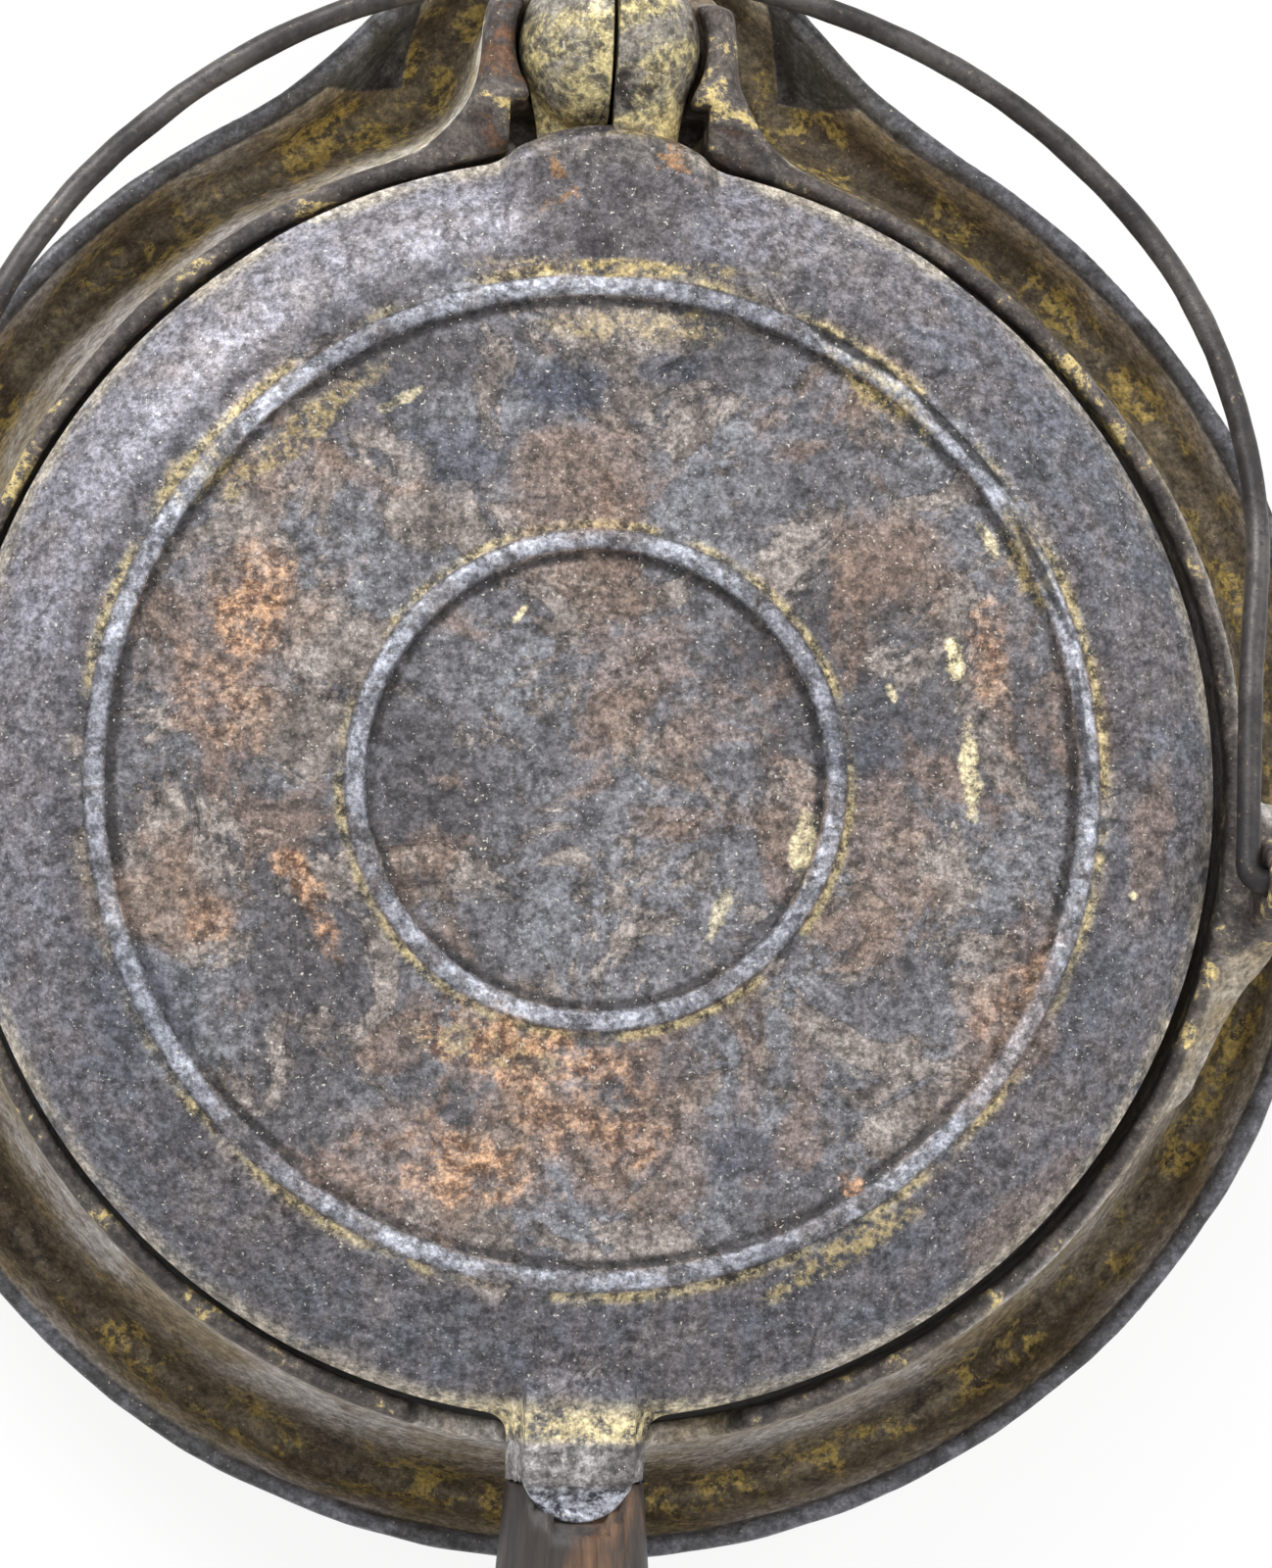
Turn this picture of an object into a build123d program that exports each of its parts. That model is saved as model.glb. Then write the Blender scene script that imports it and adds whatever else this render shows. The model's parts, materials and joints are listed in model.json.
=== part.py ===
"""A cast-iron stovetop waffle iron: a low ring base with a drip gutter, a wire bail, and a
pair of waffle paddles that hang on a split ball in the socket at the back of the base.

Millimetres. +Z is up, +X is to the right and the handles point along -Y. The origin lies at the
middle of the whole object's footprint, on the surface that it stands on.
"""

import os
from math import atan2, ceil, cos, degrees, hypot, pi, sin, sqrt

from build123d import *

# --- Paddles. Heights on a paddle are counted outward from the mating plane -------------------
mating_height = 48.0  # from the stove to the plane where the two paddles meet
half_gap = 0.15  # each paddle's mating face stands this far from that plane
paddle_radius = 95.0
paddle_edge = 2.6  # height of the upright edge at the rim
face_height = 10.6  # the outer face, inside the shoulder
face_radius = 77.0  # where the shoulder meets the outer face
shoulder_bulge = 1.9  # how far the shoulder swells out of a straight cone
bead_width = 3.6
bead_height = 1.3
bead_inset = 3.0  # from the edge of the outer face to the outer bead
inner_bead_radius = 35.8
medallion_recess = 0.6  # the disc inside the inner bead lies this much lower

# --- Waffle grid, on the inside of each paddle ------------------------------------------------
mating_width = 8.0  # of the level rim that meets the other paddle
cavity_depth = 6.6
cavity_draft = 1.2
rib_width = 3.2  # the cross that parts the waffle into four quarters
rib_level = 2.3  # how far below the mating plane the cross and the pegs stop
peg_base = 7.4
peg_tip = 5.6
peg_spacing = 4.2  # the channel between two pegs, at the floor
peg_margin = 2.0  # least distance from a peg to the wall of the cavity

# --- Split ball hinge at the back of the paddles ----------------------------------------------
ball_radius = 14.05
ball_offset = 17.6  # from the rim of the paddles to the middle of the ball
ball_slit = 0.6
neck_radius = 11.0
neck_inset = 5.0  # the neck ends this far in front of the ball's middle, inside the ball
lug_width = 28.0
lug_length = 4.8  # of the lug's crest, past the rim of the paddle
lug_height = 9.0
lug_shoulder = 4.4  # how far the lug's corners lie behind its crest
lug_rounding = 2.2
joint_gap = 0.35  # between one half of the ball and the other paddle's lug
pin_radius = 2.5
pin_length = 21.0
pin_clearance = 0.06
pin_end_room = 0.4

# --- Handles ----------------------------------------------------------------------------------
handle_reach = 240.0  # from the middle of the paddles to the end of the grips
root_radius = 10.3
root_length = 9.0  # past the rim of the paddle
root_fillet = 4.0
tongue_width = 17.0
tongue_height = 10.4
tongue_curl = 4.0  # its top starts to fall this far before the root ends
tongue_lap = 6.4  # how far its nose laps over the grip
tongue_drop = 2.8
tongue_nose = 5.0  # thickness of the nose that laps over the grip
tang_width = 8.0
tang_height = 4.4
tang_length = 101.0
grip_waist = 12.4
grip_swell = 13.4
grip_tail = 11.6
grip_waist_place = 28.0  # from the iron
grip_swell_place = 84.0
grip_end_rounding = 10.0  # length of the rounded end
grip_end_drop = 3.2  # at its shoulder, where it is grip_end_share as thick as the tail
grip_end_share = 0.72
grip_lap = 0.2  # clearance between the wood and the iron let into it
screw_radius = 2.0
screw_head_radius = 3.6
screw_head_height = 2.4
screw_sink = 0.8  # how far the heads lie below the crest of the grip
screw_slot = 0.9
screw_places = (132.0, 190.0)

# --- Ring base --------------------------------------------------------------------------------
gutter_width = 19.5  # from the collar to the outside of the rim
rim_height = 24.0
rim_flare = 4.0  # the rim stands out this much past the foot
rim_wall = 3.0
floor_thickness = 4.5
foot_width = 12.0  # of the level foot under the gutter
collar_gap = 1.3  # between the rim of the paddles and the collar
collar_width = 4.2
flank_foot = 11.0  # how far the collar's flank spreads into the gutter
flank_hollow = 3.0  # how far the flank curves in from a straight cone
lobe_radius = 31.4  # the rim's bulge round the ball socket
lobe_fillet = 18.0

# --- Ball socket ------------------------------------------------------------------------------
socket_clearance = 0.3
cheek_gap = 0.8  # beside the ball, above its middle
cheek_thickness = 4.9
cheek_height = 5.0  # above the mating plane
cheek_crown = 12.6  # the cheeks are level from this far in front of the ball
cheek_back = 5.5  # and to this far behind its middle
socket_wall = 3.25  # behind the ball
back_wall_drop = 4.6  # the back wall stops this far below the mating plane
back_wall_lip = 4.0  # it is upright for this height
back_wall_ledge = 4.0  # level behind the cheeks, before the cheeks rise
cheek_corner = 1.5  # the cheeks' sides end this far in front of their back
waist_inset = 5.2  # the pedestal under the socket is narrower, so that the bail swings past
waist_drop = 14.0
neck_room = 1.2
lug_room = 0.5  # round the lug's corners, so that the pair can be turned over in the socket
flare_start = 9.1  # in front of the middle of the ball
flare_width = 23.0
skirt_width = 31.0
skirt_height = 38.0
skirt_hollow = 5.0
core_radius = 9.0
core_roof = 5.65  # iron left between the core and the seat of the ball

# --- Front saddle -----------------------------------------------------------------------------
saddle_clearance = 0.3
saddle_half_width = 11.5
saddle_step = 13.2
dip_half_width = 27.0
dip_floor_width = 21.0
dip_depth = 7.8
dip_fall = 0.4  # of its floor, towards the saddle

# --- Bail and its ears ------------------------------------------------------------------------
bail_wire_radius = 2.0
bail_pivot_y = -12.5  # from the middle of the ring
bail_pivot_lift = 11.0  # above the mating plane
bail_arm_gap = 1.3  # between the arms and the paddles' rims
bail_pattern = 98.3  # half the width between the arms at which the next lengths hold
bail_spread = 4.9  # the shoulders stand this much further out than the arms
bail_shoulder_reach = 88.0  # from the pivots
bail_haunch_x = 54.0
bail_rise = 16.0  # from the haunches to the crown
bail_socket_gap = 8.8  # behind the socket
bail_bends = (88.0, 100.0, 90.0)  # at the shoulders, the haunches and the crown
bail_hook_bend = 2.6
bail_rim_clearance = 0.4  # the bail lies back on the rim of the base
bail_rest = 141.0  # where it crosses the rim, behind its pivots
ear_clearance = 1.3
ear_thickness = 4.6
ear_hole_clearance = 0.3
ear_wall = 3.2
ear_back = 4.0  # the ear's foot ends this far behind the middle of the ring
tip_overhang = 2.0
gusset_front = 45.0
gusset_back = 12.0

# --- Worked out from the sizes above ----------------------------------------------------------
cavity_radius = paddle_radius - mating_width
outer_bead_radius = face_radius - bead_inset
lug_reach = paddle_radius + lug_length
ball_distance = paddle_radius + ball_offset
root_reach = paddle_radius + root_length
tongue_flat = root_reach - tongue_curl
tongue_reach = root_reach + tongue_lap
tang_reach = root_reach + tang_length
ring_y = (handle_reach - ball_distance - lobe_radius) / 2
ball_y = ring_y + ball_distance
collar_radius = paddle_radius + collar_gap
collar_outer_radius = collar_radius + collar_width
rim_radius = collar_outer_radius + gutter_width
foot_inner_radius = rim_radius - rim_flare - foot_width
flare_angle = degrees(atan2(rim_flare, rim_height))
peg_height = cavity_depth - rib_level
peg_taper = degrees(atan2((peg_base - peg_tip) / 2, peg_height))
peg_pitch = peg_base + peg_spacing
lug_swing = hypot(lug_width / 2, lug_height)
tongue_low = tongue_height - tongue_drop
cheek_x = ball_radius + cheek_gap + cheek_thickness
seat_radius = ball_radius + socket_clearance
socket_back = seat_radius + socket_wall
waist_back = socket_back - waist_inset
core_height = mating_height - seat_radius - core_roof
pivot_y = ring_y + bail_pivot_y
pivot_height = mating_height + bail_pivot_lift
arm_x = paddle_radius + bail_arm_gap + bail_wire_radius
ear_x = arm_x + bail_wire_radius + ear_clearance
tip_x = ear_x + ear_thickness + tip_overhang
bail_crown = ball_distance - bail_pivot_y + socket_back + bail_socket_gap
bail_slope = degrees(
    atan2(pivot_height - rim_height - bail_wire_radius - bail_rim_clearance, bail_rest)
)
upper = Location((0, ring_y, mating_height))
lower = Location((0, ring_y, mating_height), (0, 180, 0))


def paddle_disc():
    """The round casting, solid, with its shoulder and its two raised beads."""
    run, fall = paddle_radius - face_radius, face_height - paddle_edge
    span = hypot(run, fall)
    crest = (
        (paddle_radius + face_radius) / 2 + shoulder_bulge * fall / span,
        (paddle_edge + face_height) / 2 + shoulder_bulge * run / span,
    )
    half = bead_width / 2
    low = face_height - medallion_recess
    with BuildPart() as disc:
        with BuildSketch(Plane.XZ):
            with BuildLine():
                Polyline(
                    (0, low), (0, half_gap), (paddle_radius, half_gap), (paddle_radius, paddle_edge)
                )
                ThreePointArc((paddle_radius, paddle_edge), crest, (face_radius, face_height))
                Line((face_radius, face_height), (outer_bead_radius + half, face_height))
                ThreePointArc(
                    (outer_bead_radius + half, face_height),
                    (outer_bead_radius, face_height + bead_height),
                    (outer_bead_radius - half, face_height),
                )
                Line(
                    (outer_bead_radius - half, face_height),
                    (inner_bead_radius + half, face_height),
                )
                ThreePointArc(
                    (inner_bead_radius + half, face_height),
                    (inner_bead_radius, face_height + bead_height),
                    (inner_bead_radius - half, low),
                )
                Line((inner_bead_radius - half, low), (0, low))
            make_face()
        revolve(axis=Axis.Z)
    return disc.part


def hinge_lug():
    """The lug and the half-round neck behind the disc, cut back round the other half's ball."""
    side, corner = lug_width / 2, lug_reach - lug_shoulder
    with BuildPart() as lug:
        with BuildSketch(Plane.XY.offset(half_gap)):
            with BuildLine():
                ThreePointArc((-side, corner), (0, lug_reach), (side, corner))
                Polyline((side, corner), (side, face_radius), (-side, face_radius), (-side, corner))
            make_face()
        extrude(amount=lug_height - half_gap)
        fillet(lug.edges().group_by(Axis.Z)[-1].sort_by(Axis.Y)[1:], lug_rounding)
        with BuildSketch(Plane.XZ.offset(neck_inset - ball_distance)):
            Circle(neck_radius)
            with Locations((0, half_gap - neck_radius)):
                Rectangle(2 * neck_radius, 2 * neck_radius, mode=Mode.SUBTRACT)
        extrude(amount=ball_distance - neck_inset - corner)
        with Locations((ball_slit / 2, ball_distance, 0)):
            Cylinder(
                ball_radius + joint_gap,
                lug_width,
                rotation=(0, -90, 0),
                align=(Align.CENTER, Align.CENTER, Align.MIN),
                mode=Mode.SUBTRACT,
            )
    return lug.part


def half_ball():
    """The right-hand half of the ball."""
    start = ball_slit / 2
    edge = sqrt(ball_radius**2 - start**2)
    with BuildPart() as ball:
        with BuildSketch(Plane.XY):
            with BuildLine():
                Polyline(
                    (ball_radius, ball_distance), (start, ball_distance), (start, ball_distance + edge)
                )
                RadiusArc(
                    (start, ball_distance + edge), (ball_radius, ball_distance), ball_radius
                )
            make_face()
        revolve(axis=Axis((0, ball_distance, 0), (1, 0, 0)))
    return ball.part


def handle_root():
    """The half-round root, the tongue that laps over the grip, and the tang inside it."""
    side = tongue_width / 2
    with BuildPart() as root:
        with BuildSketch(Plane.XY.offset(half_gap)):
            with BuildLine():
                ThreePointArc((-side, -root_reach), (0, -tongue_reach), (side, -root_reach))
                Polyline((side, -root_reach), (side, -face_radius), (-side, -face_radius),
                         (-side, -root_reach))
            make_face()
        extrude(amount=tongue_height)
        with BuildSketch(Plane.YZ):
            with BuildLine():
                Polyline(
                    (-tongue_reach, tongue_low),
                    (-tongue_reach, tongue_low - tongue_nose),
                    (-root_reach, tongue_low - tongue_nose),
                    (-root_reach, half_gap),
                    (-face_radius, half_gap),
                    (-face_radius, tongue_height),
                    (-tongue_flat, tongue_height),
                )
                Spline(
                    (-tongue_flat, tongue_height),
                    (-tongue_reach, tongue_low),
                    tangents=[(-1, 0), (-1, -0.08)],
                )
            make_face()
        extrude(amount=tongue_width, both=True, mode=Mode.INTERSECT)
        with BuildSketch(Plane.XZ.offset(face_radius)):
            Circle(root_radius)
            with Locations((0, half_gap - root_radius)):
                Rectangle(2 * root_radius, 2 * root_radius, mode=Mode.SUBTRACT)
        extrude(amount=root_reach - face_radius)
        with Locations((0, -root_reach, half_gap)):
            Box(
                tang_width,
                tang_reach - root_reach,
                tang_height - half_gap,
                align=(Align.CENTER, Align.MAX, Align.MIN),
            )
        with BuildSketch(Plane.XY):
            with Locations([(0, -place) for place in screw_places]):
                Circle(screw_radius)
        extrude(amount=tang_height, mode=Mode.SUBTRACT)
    return root.part


def peg_places():
    """The pegs' centres in one quarter of the cavity."""
    first = rib_width / 2 + peg_spacing + peg_base / 2
    room = cavity_radius - cavity_draft - peg_margin
    steps = [first + peg_pitch * n for n in range(ceil((room - first) / peg_pitch))]
    half = peg_base / 2
    return [(x, y) for x in steps for y in steps if hypot(x + half, y + half) <= room]


def cast_paddle(bore_radius):
    """One paddle, outer face up, with the middle of its mating plane at the origin."""
    pieces = [paddle_disc(), hinge_lug(), handle_root(), half_ball()]
    floor = Plane.XY.offset(cavity_depth)
    floor_radius = cavity_radius - cavity_draft
    with BuildPart() as casting:
        add(pieces)
        with BuildSketch(Plane.XY.offset(half_gap)) as web:
            Circle(paddle_radius)
            with Locations((0, -face_radius)):
                Rectangle(2 * root_radius, root_reach - face_radius, align=(Align.CENTER, Align.MAX))
            fillet(web.vertices().group_by(Axis.Y)[1], root_fillet)
        extrude(amount=paddle_edge - half_gap)
        with Locations((ball_slit / 2, ball_distance, 0)):
            Cylinder(
                bore_radius,
                (pin_length - ball_slit) / 2 + pin_end_room,
                rotation=(0, 90, 0),
                align=(Align.CENTER, Align.CENTER, Align.MIN),
                mode=Mode.SUBTRACT,
            )
        with BuildSketch(Plane.XZ):
            with BuildLine():
                Polyline(
                    (0, 0), (cavity_radius, 0), (floor_radius, cavity_depth), (0, cavity_depth),
                    close=True,
                )
            make_face()
        revolve(axis=Axis.Z, mode=Mode.SUBTRACT)
        with BuildSketch(floor):
            Rectangle(2 * cavity_radius, rib_width)
            Rectangle(rib_width, 2 * cavity_radius)
        extrude(amount=-peg_height)
        with BuildSketch(floor):
            for turn in range(4):
                c, s = round(cos(turn * pi / 2)), round(sin(turn * pi / 2))
                with Locations([(x * c - y * s, x * s + y * c) for x, y in peg_places()]):
                    Rectangle(peg_base, peg_base)
        extrude(amount=-peg_height, taper=peg_taper)
    return casting.part


def wooden_grip():
    """Half of the turned grip, with its flat face on the mating plane."""
    neck, tail = root_reach + grip_lap, handle_reach
    with BuildPart() as grip:
        with BuildSketch(Plane.XY):
            with BuildLine():
                Polyline((0, -tail), (0, -neck), (root_radius, -neck))
                Spline(
                    (root_radius, -neck),
                    (grip_waist, -neck - grip_waist_place),
                    (grip_swell, -neck - grip_swell_place),
                    (grip_tail, -tail + grip_end_rounding),
                )
                ThreePointArc(
                    (grip_tail, -tail + grip_end_rounding),
                    (grip_tail * grip_end_share, -tail + grip_end_drop),
                    (0, -tail),
                )
            make_face()
        revolve(axis=Axis.Y)
        split(bisect_by=Plane.XY.offset(half_gap), keep=Keep.TOP)
        with BuildSketch(Plane.XY.offset(half_gap)):
            with Locations((0, -neck)):
                Rectangle(
                    tang_width + 2 * grip_lap,
                    tang_reach - root_reach,
                    align=(Align.CENTER, Align.MAX),
                )
        extrude(amount=tang_height - half_gap + grip_lap, mode=Mode.SUBTRACT)
        side = tongue_width / 2 + grip_lap
        lip = tongue_reach + grip_lap
        with BuildSketch(Plane.XY.offset(tongue_low - tongue_nose - grip_lap)):
            with BuildLine():
                ThreePointArc((-side, -root_reach), (0, -lip), (side, -root_reach))
                Line((side, -root_reach), (-side, -root_reach))
            make_face()
        extrude(amount=grip_swell, mode=Mode.SUBTRACT)
        with BuildSketch(Plane.XY.offset(half_gap)):
            with Locations([(0, -place) for place in screw_places]):
                Circle(screw_radius + grip_lap)
        extrude(amount=grip_swell, mode=Mode.SUBTRACT)
        with BuildSketch(Plane.XY.offset(grip_waist - screw_sink - screw_head_height - grip_lap)):
            with Locations([(0, -place) for place in screw_places]):
                Circle(screw_head_radius + grip_lap)
        extrude(amount=grip_swell, mode=Mode.SUBTRACT)
    return grip.part


def grip_screws():
    """The two wood screws of one grip, with slotted heads, reaching into the tang."""
    top = grip_waist - screw_sink
    with BuildPart() as screws:
        for place in screw_places:
            with BuildSketch(Plane(origin=(0, -place, half_gap))):
                Circle(screw_radius)
            extrude(amount=top - half_gap - screw_head_height / 2)
            with BuildSketch(Plane(origin=(0, -place, top - screw_head_height))):
                Circle(screw_head_radius)
            extrude(amount=screw_head_height)
            with Locations((0, -place, top)):
                Box(
                    2 * screw_head_radius + 1,
                    screw_slot,
                    screw_head_height,
                    mode=Mode.SUBTRACT,
                )
    return screws.part


def pan_outline(inset):
    """The rim's plan, this far inside its top edge: a circle and a lobe, blended on each side."""
    big, small, blend = rim_radius - inset, lobe_radius - inset, lobe_fillet + inset
    far, near = big + blend, small + blend
    y = (far**2 - near**2 + ball_distance**2) / (2 * ball_distance)
    centre = Vector(sqrt(far**2 - y**2), y)
    lobe = Vector(0, ball_distance)
    on_ring = centre * (big / far)
    on_lobe = lobe + (centre - lobe) * (small / near)
    middle = centre + (on_ring + on_lobe - centre * 2).normalized() * blend
    with BuildSketch() as plan:
        with BuildLine():
            ThreePointArc((-on_ring.X, on_ring.Y), (0, -big), on_ring)
            ThreePointArc(on_ring, middle, on_lobe)
            ThreePointArc(on_lobe, (0, ball_distance + small), (-on_lobe.X, on_lobe.Y))
            ThreePointArc((-on_lobe.X, on_lobe.Y), (-middle.X, middle.Y), (-on_ring.X, on_ring.Y))
        make_face()
    return plan.sketch


def ring_plane(height):
    """The level plane at this height, centred on the ring."""
    return Plane(origin=(0, ring_y, height))


def socket_tower():
    """The socket's outside: its plan and its side view, each carried through the other."""
    corner = cheek_back - cheek_corner
    front = cavity_radius - ball_distance
    top, back = mating_height + cheek_height, mating_height - back_wall_drop
    with BuildPart() as tower:
        with BuildSketch(Plane(origin=(0, ball_y, 0))):
            with BuildLine():
                ThreePointArc((cheek_x, corner), (0, socket_back), (-cheek_x, corner))
                Polyline(
                    (-cheek_x, corner), (-cheek_x, front), (cheek_x, front), (cheek_x, corner)
                )
            make_face()
        extrude(amount=top)
        with BuildSketch(Plane(origin=(0, ball_y, 0), x_dir=(0, 1, 0), z_dir=(1, 0, 0))):
            with BuildLine():
                Polyline(
                    (front, 0),
                    (waist_back, 0),
                    (waist_back, mating_height - waist_drop),
                    (socket_back, back - back_wall_lip),
                    (socket_back, back),
                    (cheek_back + back_wall_ledge, back),
                    (cheek_back, top),
                    (-cheek_crown, top),
                    (-cheek_crown - cheek_height, mating_height),
                    (front, mating_height),
                    close=True,
                )
            make_face()
        extrude(amount=cheek_x, both=True, mode=Mode.INTERSECT)
    return tower.part


def socket_skirt():
    """The foot of the socket, which spreads sideways onto the floor of the gutter."""
    mid = ((skirt_width + cheek_x) / 2 - skirt_hollow, skirt_height / 2)
    with BuildPart() as skirt:
        with BuildSketch(Plane.XZ.offset(-ball_y - cheek_back)):
            with BuildLine():
                ThreePointArc((skirt_width, 0), mid, (cheek_x, skirt_height))
                Line((cheek_x, skirt_height), (-cheek_x, skirt_height))
                ThreePointArc(
                    (-cheek_x, skirt_height), (-mid[0], mid[1]), (-skirt_width, 0)
                )
                Line((-skirt_width, 0), (skirt_width, 0))
            make_face()
        extrude(amount=cheek_back + ball_distance - paddle_radius)
    return skirt.part


def socket_void():
    """The seat of the ball, open above, and the slot and flare in front of it for the lug."""
    high = cheek_height + 1
    slot = neck_radius + neck_room
    sweep = lug_swing + lug_room
    with BuildPart() as void:
        Sphere(seat_radius)
        Cylinder(
            ball_radius + cheek_gap, high, align=(Align.CENTER, Align.CENTER, Align.MIN)
        )
        with BuildSketch(Plane.XZ):
            Circle(slot)
            Rectangle(2 * slot, high, align=(Align.CENTER, Align.MIN))
        extrude(amount=seat_radius)
        with BuildSketch(Plane.XZ.offset(flare_start)):
            Circle(sweep)
            Rectangle(2 * sweep, high, align=(Align.CENTER, Align.MIN))
        extrude(amount=ball_distance - flare_start - cavity_radius)
        with BuildSketch(Plane.XY.offset(high)):
            with BuildLine():
                front = ball_distance - paddle_radius
                Polyline(
                    (-slot, -flare_start),
                    (slot, -flare_start),
                    (flare_width, -front),
                    (-flare_width, -front),
                    close=True,
                )
            make_face()
        extrude(amount=-high - lug_height)
    return void.part


def collar_ring():
    """The flared ring whose upper edge surrounds the paddles."""
    inner_mid = (collar_radius + foot_inner_radius - flank_hollow) / 2
    outer_mid = collar_outer_radius + flank_foot / 2 - flank_hollow
    with BuildPart() as ring:
        with BuildSketch(Plane.XZ):
            with BuildLine():
                ThreePointArc(
                    (collar_radius, mating_height),
                    (inner_mid, mating_height / 2),
                    (foot_inner_radius, 0),
                )
                Polyline(
                    (foot_inner_radius, 0),
                    (collar_outer_radius + flank_foot, 0),
                    (collar_outer_radius + flank_foot, floor_thickness),
                )
                ThreePointArc(
                    (collar_outer_radius + flank_foot, floor_thickness),
                    (outer_mid, (mating_height + floor_thickness) / 2),
                    (collar_outer_radius, mating_height),
                )
                Line((collar_outer_radius, mating_height), (collar_radius, mating_height))
            make_face()
        revolve(axis=Axis.Z)
    return ring.part


def ring_void():
    """Everything inside the collar's inner face."""
    inner_mid = (collar_radius + foot_inner_radius - flank_hollow) / 2
    high = mating_height + cheek_height + 1
    with BuildPart() as void:
        with BuildSketch(Plane.XZ):
            with BuildLine():
                ThreePointArc(
                    (collar_radius, mating_height),
                    (inner_mid, mating_height / 2),
                    (foot_inner_radius, 0),
                )
                Polyline(
                    (foot_inner_radius, 0), (0, 0), (0, high), (collar_radius, high),
                    (collar_radius, mating_height),
                )
            make_face()
        revolve(axis=Axis.Z)
    return void.part


def bail_ear():
    """The right-hand ear: a gusset on the collar's flank and an upright lug with a hole."""
    radius = bail_wire_radius + ear_hole_clearance + ear_wall
    outer = ear_x + ear_thickness
    with BuildPart() as ear:
        with BuildSketch(ring_plane(0)):
            with BuildLine():
                Polyline(
                    (paddle_radius, -gusset_front),
                    (outer, bail_pivot_y - radius),
                    (outer, ear_back),
                    (collar_radius, gusset_back),
                    (paddle_radius, gusset_back),
                    close=True,
                )
            make_face()
        extrude(amount=mating_height)
        with BuildSketch(Plane.YZ.offset(ear_x)):
            with BuildLine():
                Polyline(
                    (pivot_y + radius, pivot_height),
                    (ring_y + ear_back, mating_height),
                    (ring_y + ear_back, 0),
                    (pivot_y - radius, 0),
                    (pivot_y - radius, pivot_height),
                )
                ThreePointArc(
                    (pivot_y - radius, pivot_height),
                    (pivot_y, pivot_height + radius),
                    (pivot_y + radius, pivot_height),
                )
            make_face()
        extrude(amount=ear_thickness)
        with Locations((ear_x, pivot_y, pivot_height)):
            Cylinder(
                bail_wire_radius + ear_hole_clearance,
                2 * ear_thickness,
                rotation=(0, 90, 0),
                mode=Mode.SUBTRACT,
            )
    return ear.part


def front_notch():
    """The saddle for the handle root, and the dip on each side of it."""
    low = mating_height - root_radius - saddle_clearance
    top = mating_height + 1
    right = [
        (saddle_half_width, low),
        (saddle_step, mating_height - dip_depth),
        (dip_floor_width, mating_height - dip_depth + dip_fall),
        (dip_half_width, top),
    ]
    with BuildPart() as notch:
        with BuildSketch(Plane.XZ.offset(cavity_radius - ring_y)):
            with BuildLine():
                Polyline(*right, *[(-x, z) for x, z in reversed(right)], close=True)
            make_face()
        extrude(amount=rim_radius - cavity_radius)
    return notch.part


paddle_casting = cast_paddle(pin_radius + pin_clearance)
lower_casting = cast_paddle(pin_radius)
grip_half = wooden_grip()
screw_pair = grip_screws()

with BuildPart() as top_paddle:
    with Locations(upper):
        add(paddle_casting)
top_paddle.part.label = "top_paddle"

with BuildPart() as bottom_paddle:
    with Locations(lower):
        add(lower_casting)
bottom_paddle.part.label = "bottom_paddle"

with BuildPart() as hinge_pin:
    with Locations((0, ball_y, mating_height)):
        Cylinder(pin_radius, pin_length, rotation=(0, 90, 0))
hinge_pin.part.label = "hinge_pin"

with BuildPart() as top_grip:
    with Locations(upper):
        add(grip_half)
top_grip.part.label = "top_grip"

with BuildPart() as bottom_grip:
    with Locations(lower):
        add(grip_half)
bottom_grip.part.label = "bottom_grip"

with BuildPart() as top_grip_screws:
    with Locations(upper):
        add(screw_pair)
top_grip_screws.part.label = "top_grip_screws"

with BuildPart() as bottom_grip_screws:
    with Locations(lower):
        add(screw_pair)
bottom_grip_screws.part.label = "bottom_grip_screws"

ring = collar_ring()
ring_inside = ring_void()
tower = socket_tower()
skirt = socket_skirt()
ball_void = socket_void()
ear = bail_ear()
notch = front_notch()
pan_foot = pan_outline(rim_flare)
pan_inside = pan_outline(rim_wall + rim_flare * (1 - floor_thickness / rim_height))

with BuildPart() as base:
    with BuildSketch(ring_plane(0)):
        add(pan_foot)
    extrude(amount=rim_height, taper=-flare_angle)
    with BuildSketch(ring_plane(floor_thickness)):
        add(pan_inside)
    extrude(amount=rim_height, taper=-flare_angle, mode=Mode.SUBTRACT)
    with Locations((0, ring_y, 0)):
        add(ring)
    add([tower, skirt, ear])
    mirror(ear, about=Plane.YZ)
    with Locations((0, ring_y, 0)):
        add(ring_inside, mode=Mode.SUBTRACT)
    with Locations((0, ball_y, mating_height)):
        add(ball_void, mode=Mode.SUBTRACT)
    add(notch, mode=Mode.SUBTRACT)
    with Locations((0, ball_y, 0)):
        Cylinder(
            core_radius,
            core_height,
            align=(Align.CENTER, Align.CENTER, Align.MIN),
            mode=Mode.SUBTRACT,
        )
base.part.label = "base"

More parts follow.
